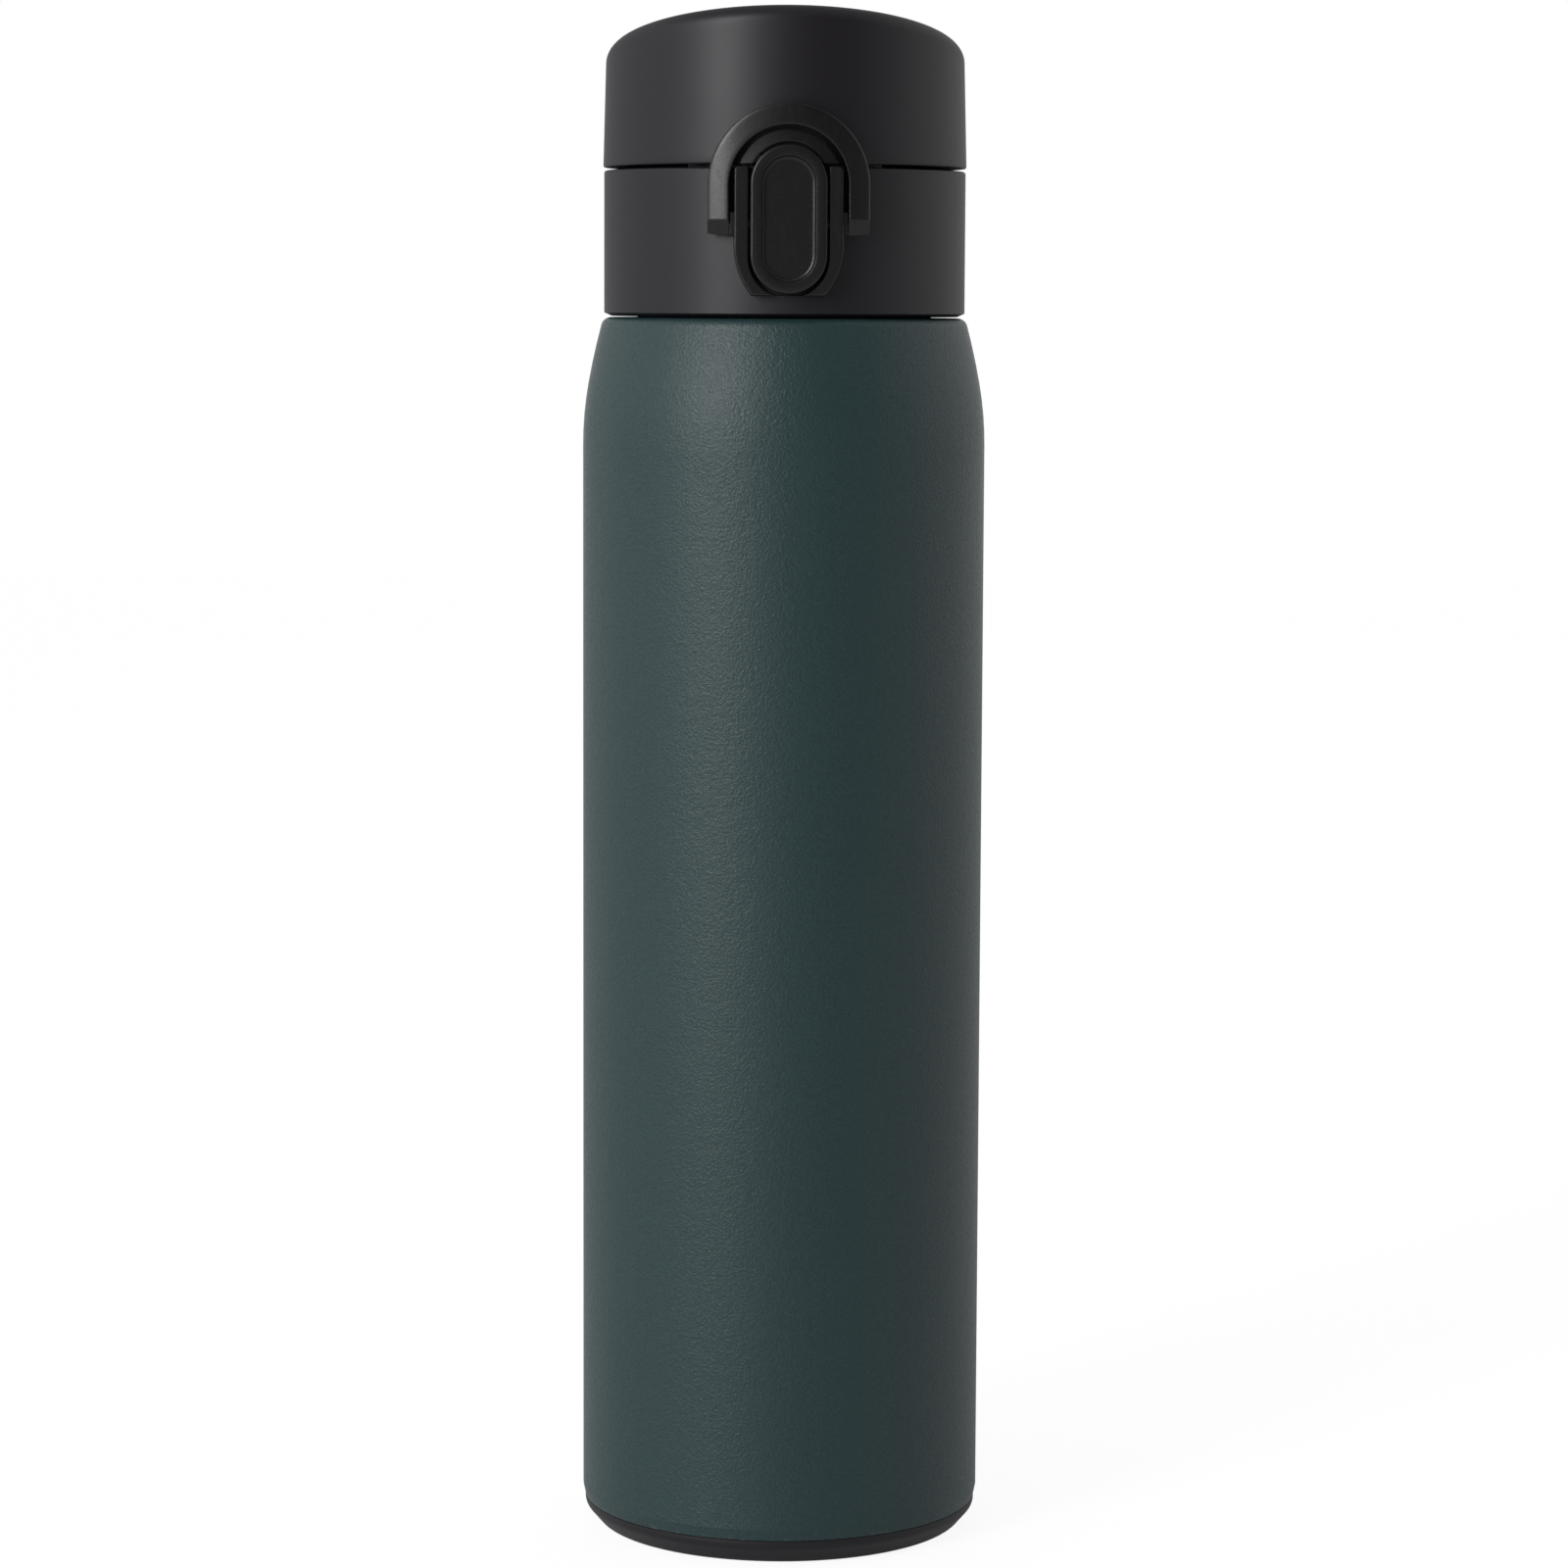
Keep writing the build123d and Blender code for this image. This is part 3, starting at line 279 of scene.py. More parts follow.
# ---- meshes ----
class Shape:
    """A mesh piece that is being built."""

    def __init__(self):
        self.bm = bmesh.new()

    def skin(self, rings, ends=False, loop=False):
        """Quads between rings of points; ends closes the first and the last ring, loop joins them."""
        rings = [[self.bm.verts.new(point) for point in ring] for ring in rings]
        count = len(rings[0])
        following = rings[1:] + rings[:1] if loop else rings[1:]
        for here, there in zip(rings, following):
            for i in range(count):
                j = (i + 1) % count
                self.bm.faces.new((here[i], here[j], there[j], there[i]))
        if ends:
            self.bm.faces.new(rings[0])
            self.bm.faces.new(rings[-1])

    def turned_x(self, profile, y, z, loop=False):
        """Turns a profile of (x, radius) points about a line along X."""
        turns = [math.tau * i / ROUND for i in range(ROUND)]
        rows = [[Vector((x, y + r * math.cos(a), z + r * math.sin(a))) for a in turns] for x, r in profile]
        self.skin(rows, loop=loop)

    def rod(self, radius, start, end, y, z, edge):
        """Solid cylinder along X with rounded rims."""
        profile = [(start, 0.0)]
        profile += bend((start + edge, radius - edge), edge, 180, 90)
        profile += bend((end - edge, radius - edge), edge, 90, 0)
        profile += [(end, 0.0)]
        self.turned_x(profile, y, z)

    def barrel(self, radius, bore, start, end, y, z, edge):
        """Hollow cylinder along X with rounded outer rims."""
        profile = [(start, bore)]
        profile += bend((start + edge, radius - edge), edge, 180, 90)
        profile += bend((end - edge, radius - edge), edge, 90, 0)
        profile += [(end, bore)]
        self.turned_x(profile, y, z, loop=True)

    def prism_x(self, outline, start, end, edge):
        """Extrudes an outline of (y, z) points along X and rounds its edges."""
        part = bmesh.new()
        face = part.faces.new([part.verts.new((start, y, z)) for y, z in outline])
        moved = bmesh.ops.extrude_face_region(part, geom=[face])["geom"]
        verts = [v for v in moved if isinstance(v, bmesh.types.BMVert)]
        bmesh.ops.translate(part, verts=verts, vec=(end - start, 0, 0))
        bmesh.ops.bevel(part, geom=part.edges[:], offset=edge, segments=3, profile=0.5, affect="EDGES")
        mesh = bpy.data.meshes.new("prism")
        part.to_mesh(mesh)
        part.free()
        self.bm.from_mesh(mesh)
        bpy.data.meshes.remove(mesh)

    def band(self, stations, back, front, edges, limit=None, flat=False):
        """Strip on the flask's front between inner and outer (x, z) points.

        edges are the roundings of its inner and outer front edges; a flat strip's front is a plane.
        """
        rows = []
        for inner, outer in stations:
            across = Vector(outer) - Vector(inner)
            width = across.length
            inner_edge, outer_edge = (min(edge, 0.45 * width) for edge in edges)
            section = [(0.0, back)]
            section += bend((inner_edge, front - inner_edge), inner_edge, 180, 90)
            section += [(mixed(inner_edge, width - outer_edge, t), front) for t in (0.2, 0.5, 0.8)]
            section += bend((width - outer_edge, front - outer_edge), outer_edge, 90, 0)
            section += [(width, back)]
            row = []
            for along, radius in section:
                x, z = Vector(inner) + across * (along / width if width > 0 else 0.0)
                point = Vector((x, -radius, z)) if flat and radius > back else on_front(x, z, radius)
                row.append(limit(point) if limit else point)
            rows.append(row)
        self.skin(rows, ends=True)

    def make(self, name):
        """Turns the built faces into an object with smooth shading and sharp creases."""
        bmesh.ops.remove_doubles(self.bm, verts=self.bm.verts, dist=WELD)
        bmesh.ops.dissolve_degenerate(self.bm, edges=self.bm.edges, dist=WELD / 2)
        bmesh.ops.recalc_face_normals(self.bm, faces=self.bm.faces)
        mesh = bpy.data.meshes.new(name)
        self.bm.to_mesh(mesh)
        self.bm.free()
        piece = bpy.data.objects.new(name, mesh)
        bpy.context.scene.collection.objects.link(piece)
        crease(mesh)
        return piece


def crease(mesh):
    """Smooth shading with creases at the sharp edges."""
    for face in mesh.polygons:
        face.use_smooth = True
    mesh.set_sharp_from_angle(angle=SHARP)


def carve(piece, cutter):
    """Cuts one made piece out of another and deletes the cutter."""
    cut = piece.modifiers.new("cut", "BOOLEAN")
    cut.operation = "DIFFERENCE"
    cut.solver = "EXACT"
    cut.object = cutter
    bpy.context.view_layer.update()
    cut_mesh = bpy.data.meshes.new_from_object(piece.evaluated_get(bpy.context.evaluated_depsgraph_get()))
    piece.modifiers.clear()
    piece.data = cut_mesh
    bpy.data.objects.remove(cutter)
    crease(cut_mesh)


def bend(centre, radius, start, end, steps=6):
    """Points of an arc between two directions in degrees."""
    angles = [math.radians(mixed(start, end, i / steps)) for i in range(steps + 1)]
    return [(centre[0] + radius * math.cos(a), centre[1] + radius * math.sin(a)) for a in angles]


def mixed(a, b, t):
    return a + (b - a) * t


def between(a, b, steps):
    """Evenly spaced values from a to b, both included."""
    return [mixed(a, b, i / steps) for i in range(steps + 1)]


def on_front(x, z, radius):
    """Point on the flask's front at a radius from its axis."""
    return Vector((x, -math.sqrt(radius * radius - x * x), z))


def slot_ring(half, low_z, high_z):
    """Points around an upright stadium, half wide, about the line from low_z to high_z."""
    ring = bend((0.0, low_z), half, 180, 360, SLOT_ARC)
    ring += [(half, z) for z in between(low_z, high_z, SLOT_SIDE)[1:-1]]
    ring += bend((0.0, high_z), half, 0, 180, SLOT_ARC)
    ring += [(-half, z) for z in between(high_z, low_z, SLOT_SIDE)[1:-1]]
    return ring


def dress(piece, body, slot, finish, *nodes):
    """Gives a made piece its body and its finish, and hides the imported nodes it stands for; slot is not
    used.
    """
    piece.data.materials.clear()
    piece.data.materials.append(finish)
    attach(piece, body)
    if nodes:
        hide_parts(*nodes)


def coat_node(finish, *nodes):
    """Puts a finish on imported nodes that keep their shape."""
    for name in nodes:
        for material_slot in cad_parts[name].material_slots:
            material_slot.material = finish


# ---- finishes ----
class Socket:
    """A shader output that takes part in Python expressions."""

    def __init__(self, finish, output):
        self.finish = finish
        self.output = output

    def math(self, operation, first, second):
        return self.finish.node("ShaderNodeMath", {"operation": operation}, {0: first, 1: second})[0]

    def __add__(self, other):
        return self.math("ADD", self, other)

    def __radd__(self, other):
        return self.math("ADD", other, self)

    def __sub__(self, other):
        return self.math("SUBTRACT", self, other)

    def __rsub__(self, other):
        return self.math("SUBTRACT", other, self)

    def __mul__(self, other):
        return self.math("MULTIPLY", self, other)

    def __rmul__(self, other):
        return self.math("MULTIPLY", other, self)

    def __truediv__(self, other):
        return self.math("DIVIDE", self, other)

    def __gt__(self, other):
        return self.math("GREATER_THAN", self, other)


class Finish:
    """A material or world whose nodes are being built."""

    def __init__(self, holder):
        holder.use_nodes = True
        self.tree = holder.node_tree
        self.tree.nodes.clear()

    def node(self, kind, settings, inputs):
        """Adds a node, sets it up, then fills its inputs with values or links; returns its outputs."""
        made = self.tree.nodes.new(kind)
        for key, value in settings.items():
            if key == "stops":
                set_stops(made.color_ramp, value)
            else:
                setattr(made, key, value)
        for key, value in inputs.items():
            if isinstance(value, Socket):
                self.tree.links.new(value.output, made.inputs[key])
            else:
                made.inputs[key].default_value = value
        return [Socket(self, output) for output in made.outputs]

    def place(self):
        """Position on the object, in metres."""
        return self.node("ShaderNodeTexCoord", {}, {})[3]

    def axes(self, vector):
        return self.node("ShaderNodeSeparateXYZ", {}, {0: vector})

    def scaled(self, vector, factors):
        return self.node("ShaderNodeVectorMath", {"operation": "MULTIPLY"}, {0: vector, 1: factors})[0]

    def from_axis(self, vector):
        """Distance from the flask's axis."""
        flat = self.scaled(vector, (1.0, 1.0, 0.0))
        return self.node("ShaderNodeVectorMath", {"operation": "LENGTH"}, {0: flat})[1]

    def noise(self, vector, size, detail=2.0, roughness=0.5):
        """Noise from about 0 to 1 whose features are about size across."""
        inputs = {"Vector": vector, "Scale": 1.0 / size, "Detail": detail, "Roughness": roughness}
        return self.node("ShaderNodeTexNoise", {}, inputs)[0]

    def pits(self, vector, size):
        """Distance to the nearest of scattered points, in feature sizes."""
        return self.node("ShaderNodeTexVoronoi", {}, {"Vector": vector, "Scale": 1.0 / size})[0]

    def ramped(self, value, start, end, low_value=0.0, high_value=1.0):
        """Smooth change from low_value to high_value as value goes from start to end."""
        inputs = {0: value, 1: start, 2: end, 3: low_value, 4: high_value}
        return self.node("ShaderNodeMapRange", {"interpolation_type": "SMOOTHSTEP"}, inputs)[0]

    def blend(self, factor, first, second):
        """Mix of two colours."""
        inputs = {0: factor, 6: paint(first), 7: paint(second)}
        return self.node("ShaderNodeMix", {"data_type": "RGBA"}, inputs)[2]

    def bump(self, height, depth, strength):
        inputs = {"Strength": strength, "Distance": depth, "Height": height}
        return self.node("ShaderNodeBump", {}, inputs)[0]

    def shader(self, colour, roughness, normal, **constants):
        """A Principled shader; what varies feeds colour, roughness and normal only."""
        inputs = {"Base Color": paint(colour), "Roughness": roughness, "Normal": normal}
        inputs.update({key.replace("_", " "): value for key, value in constants.items()})
        return self.node("ShaderNodeBsdfPrincipled", {}, inputs)[0]

    def seen(self, backdrop):
        """1 for what the camera sees, and for mirrored and refracted rays where the backdrop is."""
        path = self.node("ShaderNodeLightPath", {}, {})
        return path[0] + (path[3] + path[6]) * backdrop

    def surface(self, shader):
        self.node("ShaderNodeOutputMaterial", {}, {0: shader})


def paint(colour):
    """A colour socket as it is, or three numbers with full alpha."""
    return colour if isinstance(colour, Socket) else (*colour, 1.0)


def set_stops(ramp, stops):
    """Gives a colour ramp its (position, brightness) stops."""
    ramp.interpolation = "B_SPLINE"
    while len(ramp.elements) < len(stops):
        ramp.elements.new(1.0)
    for element, (position, level) in zip(ramp.elements, stops):
        element.position = position
        element.color = (level, level, level, 1.0)


def steel_parts(finish, place):
    """Colour, roughness and normal of steel that was turned on a lathe."""
    colours = bpy.context.scene.flask_colours
    rings = finish.noise(finish.scaled(place, (0.06, 0.06, 1.0)), 0.09 * MM, 3.0, 0.6)
    cloud = finish.noise(place, 6 * MM, 3.0)
    shade = finish.blend(cloud * 0.35 + rings * 0.35, colours.steel, [c * 0.72 for c in colours.steel])
    roughness = 0.24 + rings * 0.14 + cloud * 0.08
    normal = finish.bump(rings, 0.01 * MM, 0.35)
    return shade, roughness, normal


def build_steel(finish):
    """Bare turned steel."""
    shade, roughness, normal = steel_parts(finish, finish.place())
    finish.surface(finish.shader(shade, roughness, normal, Metallic=1.0))


def build_black_steel(finish):
    """Pin steel with an oxide skin."""
    shade, roughness, normal = steel_parts(finish, finish.place())
    dark = finish.blend(0.93, shade, (0.012, 0.012, 0.013))
    finish.surface(finish.shader(dark, roughness + 0.2, normal, Metallic=0.8))


def build_coat(finish):
    """Powder coat: a fine leathery grain with dull and bright specks, bare steel on the neck."""
    sizes = bpy.context.scene.flask_sizes
    colours = bpy.context.scene.flask_colours
    place = finish.place()
    grain = finish.noise(place, sizes.grain, 3.0, 0.55)
    fine = finish.noise(place, sizes.grain * 0.38, 2.0, 0.5)
    orange = finish.noise(place, sizes.grain * 4.5, 2.0, 0.5)
    cloud = finish.noise(place, 38 * MM, 3.0, 0.5)
    level = finish.ramped(grain, 0.3, 0.7) * 0.6 + fine * 0.4
    dark = [c * 0.74 for c in colours.coat]
    pale = [c * 1.26 for c in colours.coat]
    tint = finish.blend(level, dark, pale)
    cool = [c * share for c, share in zip(colours.coat, (0.8, 1.1, 1.15))]
    tint = finish.blend(cloud * 0.16, tint, cool)
    specks = finish.ramped(finish.noise(place, sizes.grain * 0.75, 1.0), 0.66, 0.74)
    tint = finish.blend(specks * 0.35, tint, [c * 2.1 for c in colours.coat])
    height = finish.axes(place)[2]
    foot_wear = finish.ramped(height, BODY_FOOT_Z + 0.15 * MM, BODY_FOOT_Z + 0.7 * MM, 1.0, 0.0)
    scuffs = finish.ramped(finish.noise(place, 1.7 * MM, 4.0, 0.7), 0.56, 0.66) * foot_wear
    tint = finish.blend(scuffs * 0.5, tint, (0.11, 0.125, 0.125))
    roughness = 0.42 - level * 0.16 + cloud * 0.05 + scuffs * 0.1
    normal = finish.bump(grain * 0.85 + fine * 0.2 + orange * 0.4, 0.2 * MM, 0.7)
    painted = finish.shader(tint, roughness, normal)
    bare_shade, bare_roughness, bare_normal = steel_parts(finish, place)
    bare = finish.shader(bare_shade, bare_roughness, bare_normal, Metallic=1.0)
    on_neck = (height > BARE_NECK_Z) * finish.ramped(finish.from_axis(place), *BARE_NECK_RADII, 1.0, 0.0)
    finish.surface(finish.node("ShaderNodeMixShader", {}, {0: on_neck, 1: painted, 2: bare})[0])


def build_satin(finish):
    """Spark-eroded black plastic with a fine even texture."""
    colours = bpy.context.scene.flask_colours
    place = finish.place()
    texture = finish.noise(place, 0.2 * MM, 2.0, 0.55)
    fine = finish.pits(place, 0.16 * MM)
    flow = finish.noise(place, 24 * MM, 2.0)
    lint = finish.ramped(finish.noise(place, 0.33 * MM, 1.0), 0.72, 0.8)
    tint = finish.blend(texture, [c * 0.75 for c in colours.satin], [c * 1.35 for c in colours.satin])
    tint = finish.blend(lint * 0.3, tint, (0.05, 0.05, 0.05))
    roughness = 0.36 + texture * 0.12 + flow * 0.05
    normal = finish.bump(texture * 0.7 + fine * 0.3, 0.02 * MM, 0.34)
    finish.surface(finish.shader(tint, roughness, normal))


def build_gloss(finish):
    """Moulded black plastic, half glossy, with faint ripple and rubbing."""
    colours = bpy.context.scene.flask_colours
    place = finish.place()
    ripple = finish.noise(place, 1.6 * MM, 2.0)
    texture = finish.noise(place, 0.16 * MM, 2.0)
    rubbed = finish.ramped(finish.noise(finish.scaled(place, (1.0, 1.0, 0.3)), 1.1 * MM, 4.0, 0.7), 0.5, 0.75)
    edges = finish.ramped(finish.node("ShaderNodeNewGeometry", {}, {})[7], 0.52, 0.6)
    tint = finish.blend(texture, [c * 0.8 for c in colours.gloss], [c * 1.3 for c in colours.gloss])
    tint = finish.blend(edges * 0.25, tint, (0.028, 0.027, 0.026))
    roughness = 0.23 + texture * 0.07 + rubbed * 0.07 - edges * 0.03
    normal = finish.bump(ripple * 0.6 + texture * 0.25, 0.02 * MM, 0.25)
    finish.surface(finish.shader(tint, roughness, normal))


def build_grey(finish):
    """Food-grade grey plastic with a matt moulded skin."""
    colours = bpy.context.scene.flask_colours
    place = finish.place()
    texture = finish.noise(place, 0.25 * MM, 2.0)
    flow = finish.noise(finish.scaled(place, (1.0, 1.0, 0.4)), 9 * MM, 3.0)
    level = texture * 0.5 + flow * 0.5
    tint = finish.blend(level, [c * 0.86 for c in colours.grey], [c * 1.14 for c in colours.grey])
    roughness = 0.34 + texture * 0.14
    normal = finish.bump(texture * 0.7 + flow * 0.3, 0.02 * MM, 0.3)
    finish.surface(finish.shader(tint, roughness, normal))


def build_silicone(finish):
    """Milky seal rubber, a little dusty."""
    colours = bpy.context.scene.flask_colours
    place = finish.place()
    dust = finish.noise(place, 0.5 * MM, 4.0, 0.7)
    cloud = finish.noise(place, 5 * MM, 2.0)
    tint = finish.blend(cloud, [c * 0.9 for c in colours.silicone], [c * 1.08 for c in colours.silicone])
    tint = finish.blend(finish.ramped(dust, 0.62, 0.75) * 0.3, tint, (0.62, 0.61, 0.58))
    roughness = 0.46 + dust * 0.2
    normal = finish.bump(dust, 0.03 * MM, 0.25)
    finish.surface(finish.shader(tint, roughness, normal, Subsurface_Weight=0.15, Subsurface_Scale=0.5 * MM))


def build_getter(finish):
    """Pressed metal powder."""
    place = finish.place()
    powder = finish.noise(place, 0.12 * MM, 3.0, 0.7)
    tint = finish.blend(powder, (0.2, 0.195, 0.19), (0.42, 0.41, 0.39))
    normal = finish.bump(powder, 0.04 * MM, 0.5)
    finish.surface(finish.shader(tint, 0.45 + powder * 0.25, normal, Metallic=1.0))


def build_bead(finish):
    """Dark solder glass that closed the pump hole."""
    place = finish.place()
    flow = finish.noise(place, 0.9 * MM, 3.0)
    tint = finish.blend(flow, (0.03, 0.045, 0.04), (0.09, 0.12, 0.1))
    normal = finish.bump(flow, 0.05 * MM, 0.3)
    finish.surface(finish.shader(tint, 0.08 + flow * 0.12, normal, Coat_Weight=0.6, Coat_Roughness=0.05))


BUILDERS = {
    "powder coat": build_coat,
    "satin black": build_satin,
    "gloss black": build_gloss,
    "grey plastic": build_grey,
    "silicone": build_silicone,
    "bare steel": build_steel,
    "blackened steel": build_black_steel,
    "getter powder": build_getter,
    "solder glass": build_bead,
}


def finish_named(name):
    """A finish that is built once and shared after that."""
    if name not in bpy.data.materials:
        BUILDERS[name](Finish(bpy.data.materials.new(name)))
    return bpy.data.materials[name]


# ---- operators ----
class FLASK_OT_bottle(bpy.types.Operator):
    """Finishes of the steel bottle and its base"""

    bl_idname = "flask.bottle"
    bl_label = "Bottle"

    def execute(self, context):
        coat_node(finish_named("powder coat"), "outer_shell")
        coat_node(finish_named("bare steel"), "inner_liner", "outer_bottom")
        coat_node(finish_named("getter powder"), "getter")
        coat_node(finish_named("solder glass"), "vacuum_seal")
        coat_node(finish_named("satin black"), "base_boot")
        return {"FINISHED"}


class FLASK_OT_cap(bpy.types.Operator):
    """Finishes of the screw cap, its spout and its seals"""

    bl_idname = "flask.cap"
    bl_label = "Cap"

    def execute(self, context):
        coat_node(finish_named("satin black"), "collar_shell")
        coat_node(finish_named("grey plastic"), "thread_sleeve", "mouthpiece", "lid_liner")
        coat_node(finish_named("silicone"), "mouthpiece_gasket", "lid_seal")
        coat_node(finish_named("bare steel"), "hinge_pin", "lid_spring", "button_spring")
        coat_node(finish_named("blackened steel"), "latch_pin")
        return {"FINISHED"}


def lid_section(turn, sizes):
    """The lid's closed section in (radius, z), at an angle from the front."""
    taper = math.tan(sizes.lid_draft)
    slope = math.cos(turn) * math.tan(sizes.lid_slant)
    foot, rim, wall = LID_FOOT_Z, sizes.lid_rim, sizes.lid_wall

    def corner(inset):
        """Where the wall meets the top, both moved in by an inset."""
        top = LID_TOP_AXIS_Z - inset / math.cos(sizes.lid_slant)
        reach = (LID_R - inset - (top - foot) * taper) / (1 + slope * taper)
        return Vector((reach, top + slope * reach))

    tip = corner(0.0)
    wall_in = Vector((-1.0, -taper)).normalized()
    top_in = Vector((slope, -1.0)).normalized()
    facing = Matrix((wall_in, top_in))
    centre = tip + facing.inverted() @ Vector((sizes.lid_edge, sizes.lid_edge))
    start = math.degrees(math.atan2(-wall_in.y, -wall_in.x))
    end = math.degrees(math.atan2(-top_in.y, -top_in.x))
    section = bend((LID_R - rim, foot + rim), rim, -90, 0)
    edge = bend(centre, sizes.lid_edge, start, end, 14)
    section += [tuple(Vector(section[-1]).lerp(Vector(edge[0]), t)) for t in between(0, 1, 16)[1:-1]]
    section += edge
    shoulder = Vector(edge[-1])
    for t in between(1, 0, 16)[1:]:
        radius = shoulder.x * t
        flat = shoulder.y - slope * (shoulder.x - radius)
        section.append((radius, flat + sizes.lid_crown * (1 - t * t) ** 2))
    inside = corner(wall)
    section += [(0.0, LID_TOP_AXIS_Z - wall / math.cos(sizes.lid_slant)), tuple(inside)]
    section += bend((LID_R - wall + rim, foot + rim), rim, 180, 270)
    return section


class FLASK_OT_lid(bpy.types.Operator):
    """Lid shell with its crowned slanted top, rounded rims and hinge knuckles"""

    bl_idname = "flask.lid"
    bl_label = "Lid"

    def execute(self, context):
        sizes = context.scene.flask_sizes
        sections = []
        for turn in [math.tau * i / AROUND for i in range(AROUND)]:
            section = lid_section(turn, sizes)
            sections.append([Vector((r * math.sin(turn), -r * math.cos(turn), z)) for r, z in section])
        shell = Shape()
        shell.skin(list(zip(*sections)), loop=True)
        lid = shell.make("lid")
        notch = Shape()
        notch.rod(KNUCKLE_R + KNUCKLE_GAP, -NOTCH_HALF, NOTCH_HALF, HINGE_Y, HINGE_Z, SMALL_EDGE)
        carve(lid, notch.make("notch"))
        dress(lid, "lid", "black_plastic", finish_named("satin black"), "lid_shell")
        web = [(HINGE_Y + KNUCKLE_R * out, HINGE_Z + up) for out, up in WEB]
        bore = HINGE_PIN_R * KNUCKLE_BORE
        knuckles = Shape()
        for side in (-1, 1):
            start, end = sorted((side * KNUCKLE_X, side * (KNUCKLE_X + KNUCKLE_W)))
            knuckles.barrel(KNUCKLE_R, bore, start, end, HINGE_Y, HINGE_Z, KNUCKLE_EDGE)
            knuckles.prism_x(web, start, end, WEB_EDGE)
        dress(knuckles.make("lid_knuckles"), "lid", "black_plastic", finish_named("satin black"))
        return {"FINISHED"}


class FLASK_OT_button(bpy.types.Operator):
    """Push button with its thumb dish"""

    bl_idname = "flask.button"
    bl_label = "Button"

    def execute(self, context):
        sizes = context.scene.flask_sizes
        near, far = low("button"), high("button")
        half, front_r = far.x, -near.y
        edge = sizes.latch_edge
        low_z, high_z = near.z + half, far.z - half
        dish_r = front_r - sizes.dish_depth
        back = [(reach, BUTTON_BACK_R) for reach in (0.0, half * 0.5, half - edge)]
        back += [(half, BUTTON_BACK_R + edge)]
        profile = bend((half - edge, front_r - edge), edge, 0, 90)
        rim = half - DISH_BORDER
        profile += [(mixed(half - edge, rim, 0.5), front_r)]
        profile += bend((rim, front_r - DISH_LIP), DISH_LIP, 90, 165, 5)
        profile += bend((rim - DISH_LIP - DISH_FOOT, dish_r + DISH_FOOT), DISH_FOOT, -12, -90, 10)
        floor_half = profile[-1][0]
        profile += [(floor_half * t, dish_r) for t in between(1, 0, 8)[1:]]
        rows = []
        for reach, radius in back:
            row = []
            for x, z in slot_ring(reach, low_z, high_z):
                row.append(on_front(x, z, radius if z <= BUTTON_STEP_Z else BUTTON_TOP_BACK_R))
            rows.append(row)
        for reach, depth in profile:
            rows.append([Vector((x, -depth, z)) for x, z in slot_ring(reach, low_z, high_z)])
        button = Shape()
        button.skin(rows)
        nose_top = far.z - NOSE_DROP
        stations = [((x, nose_top - NOSE_H), (x, nose_top)) for x in between(-NOSE_HALF, NOSE_HALF, 8)]
        nose_back, nose_front = (front_r - depth for depth in NOSE_DEPTHS)
        button.band(stations, nose_back, nose_front, (SMALL_EDGE, SMALL_EDGE))
        hub_half = half - BUTTON_HUB_INSET
        button.rod(BUTTON_HUB_R, -hub_half, hub_half, PIVOT_Y, PIVOT_Z, SMALL_EDGE)
        piece = button.make("button_cap")
        dress(piece, "button", "black_gloss_plastic", finish_named("gloss black"), "button")
        return {"FINISHED"}


class FLASK_OT_housing(bpy.types.Operator):
    """Latch housing: two rails that round in to a flat foot, a pocket between them and the pivot's hubs"""

    bl_idname = "flask.housing"
    bl_label = "Latch housing"

    def execute(self, context):
        far = high("latch_housing")
        top_z, front_r, back_r = far.z, HOUSING_R, HOUSING_BACK_R
        housing = Shape()
        for side in (-1, 1):
            stations = []
            for inner, outer in housing_stations(top_z):
                stations.append(((side * inner[0], inner[1]), (side * outer[0], outer[1])))
            housing.band(stations, back_r, front_r, RAIL_EDGES, flat=True)
            hub_zs = between(PIVOT_Z - HUB_R, PIVOT_Z + HUB_R, 16)
            hub = [((side * POCKET_HALF, z), (side * far.x, z)) for z in hub_zs]
            housing.band(hub, back_r, front_r - HUB_DROP, (SMALL_EDGE, SMALL_EDGE), flat=True)
        rows = []
        floor_half = POCKET_HALF + FLOOR_BITE
        for x in between(-floor_half, floor_half, 24):
            floor = [on_front(x, z, POCKET_FLOOR_R) for z in (HOUSING_FOOT_Z, top_z)]
            rows.append(floor + [on_front(x, z, back_r) for z in (top_z, HOUSING_FOOT_Z)])
        housing.skin(rows, ends=True)
        piece = housing.make("latch_frame")
        dress(piece, "cap", "black_gloss_plastic", finish_named("gloss black"), "latch_housing")
        return {"FINISHED"}


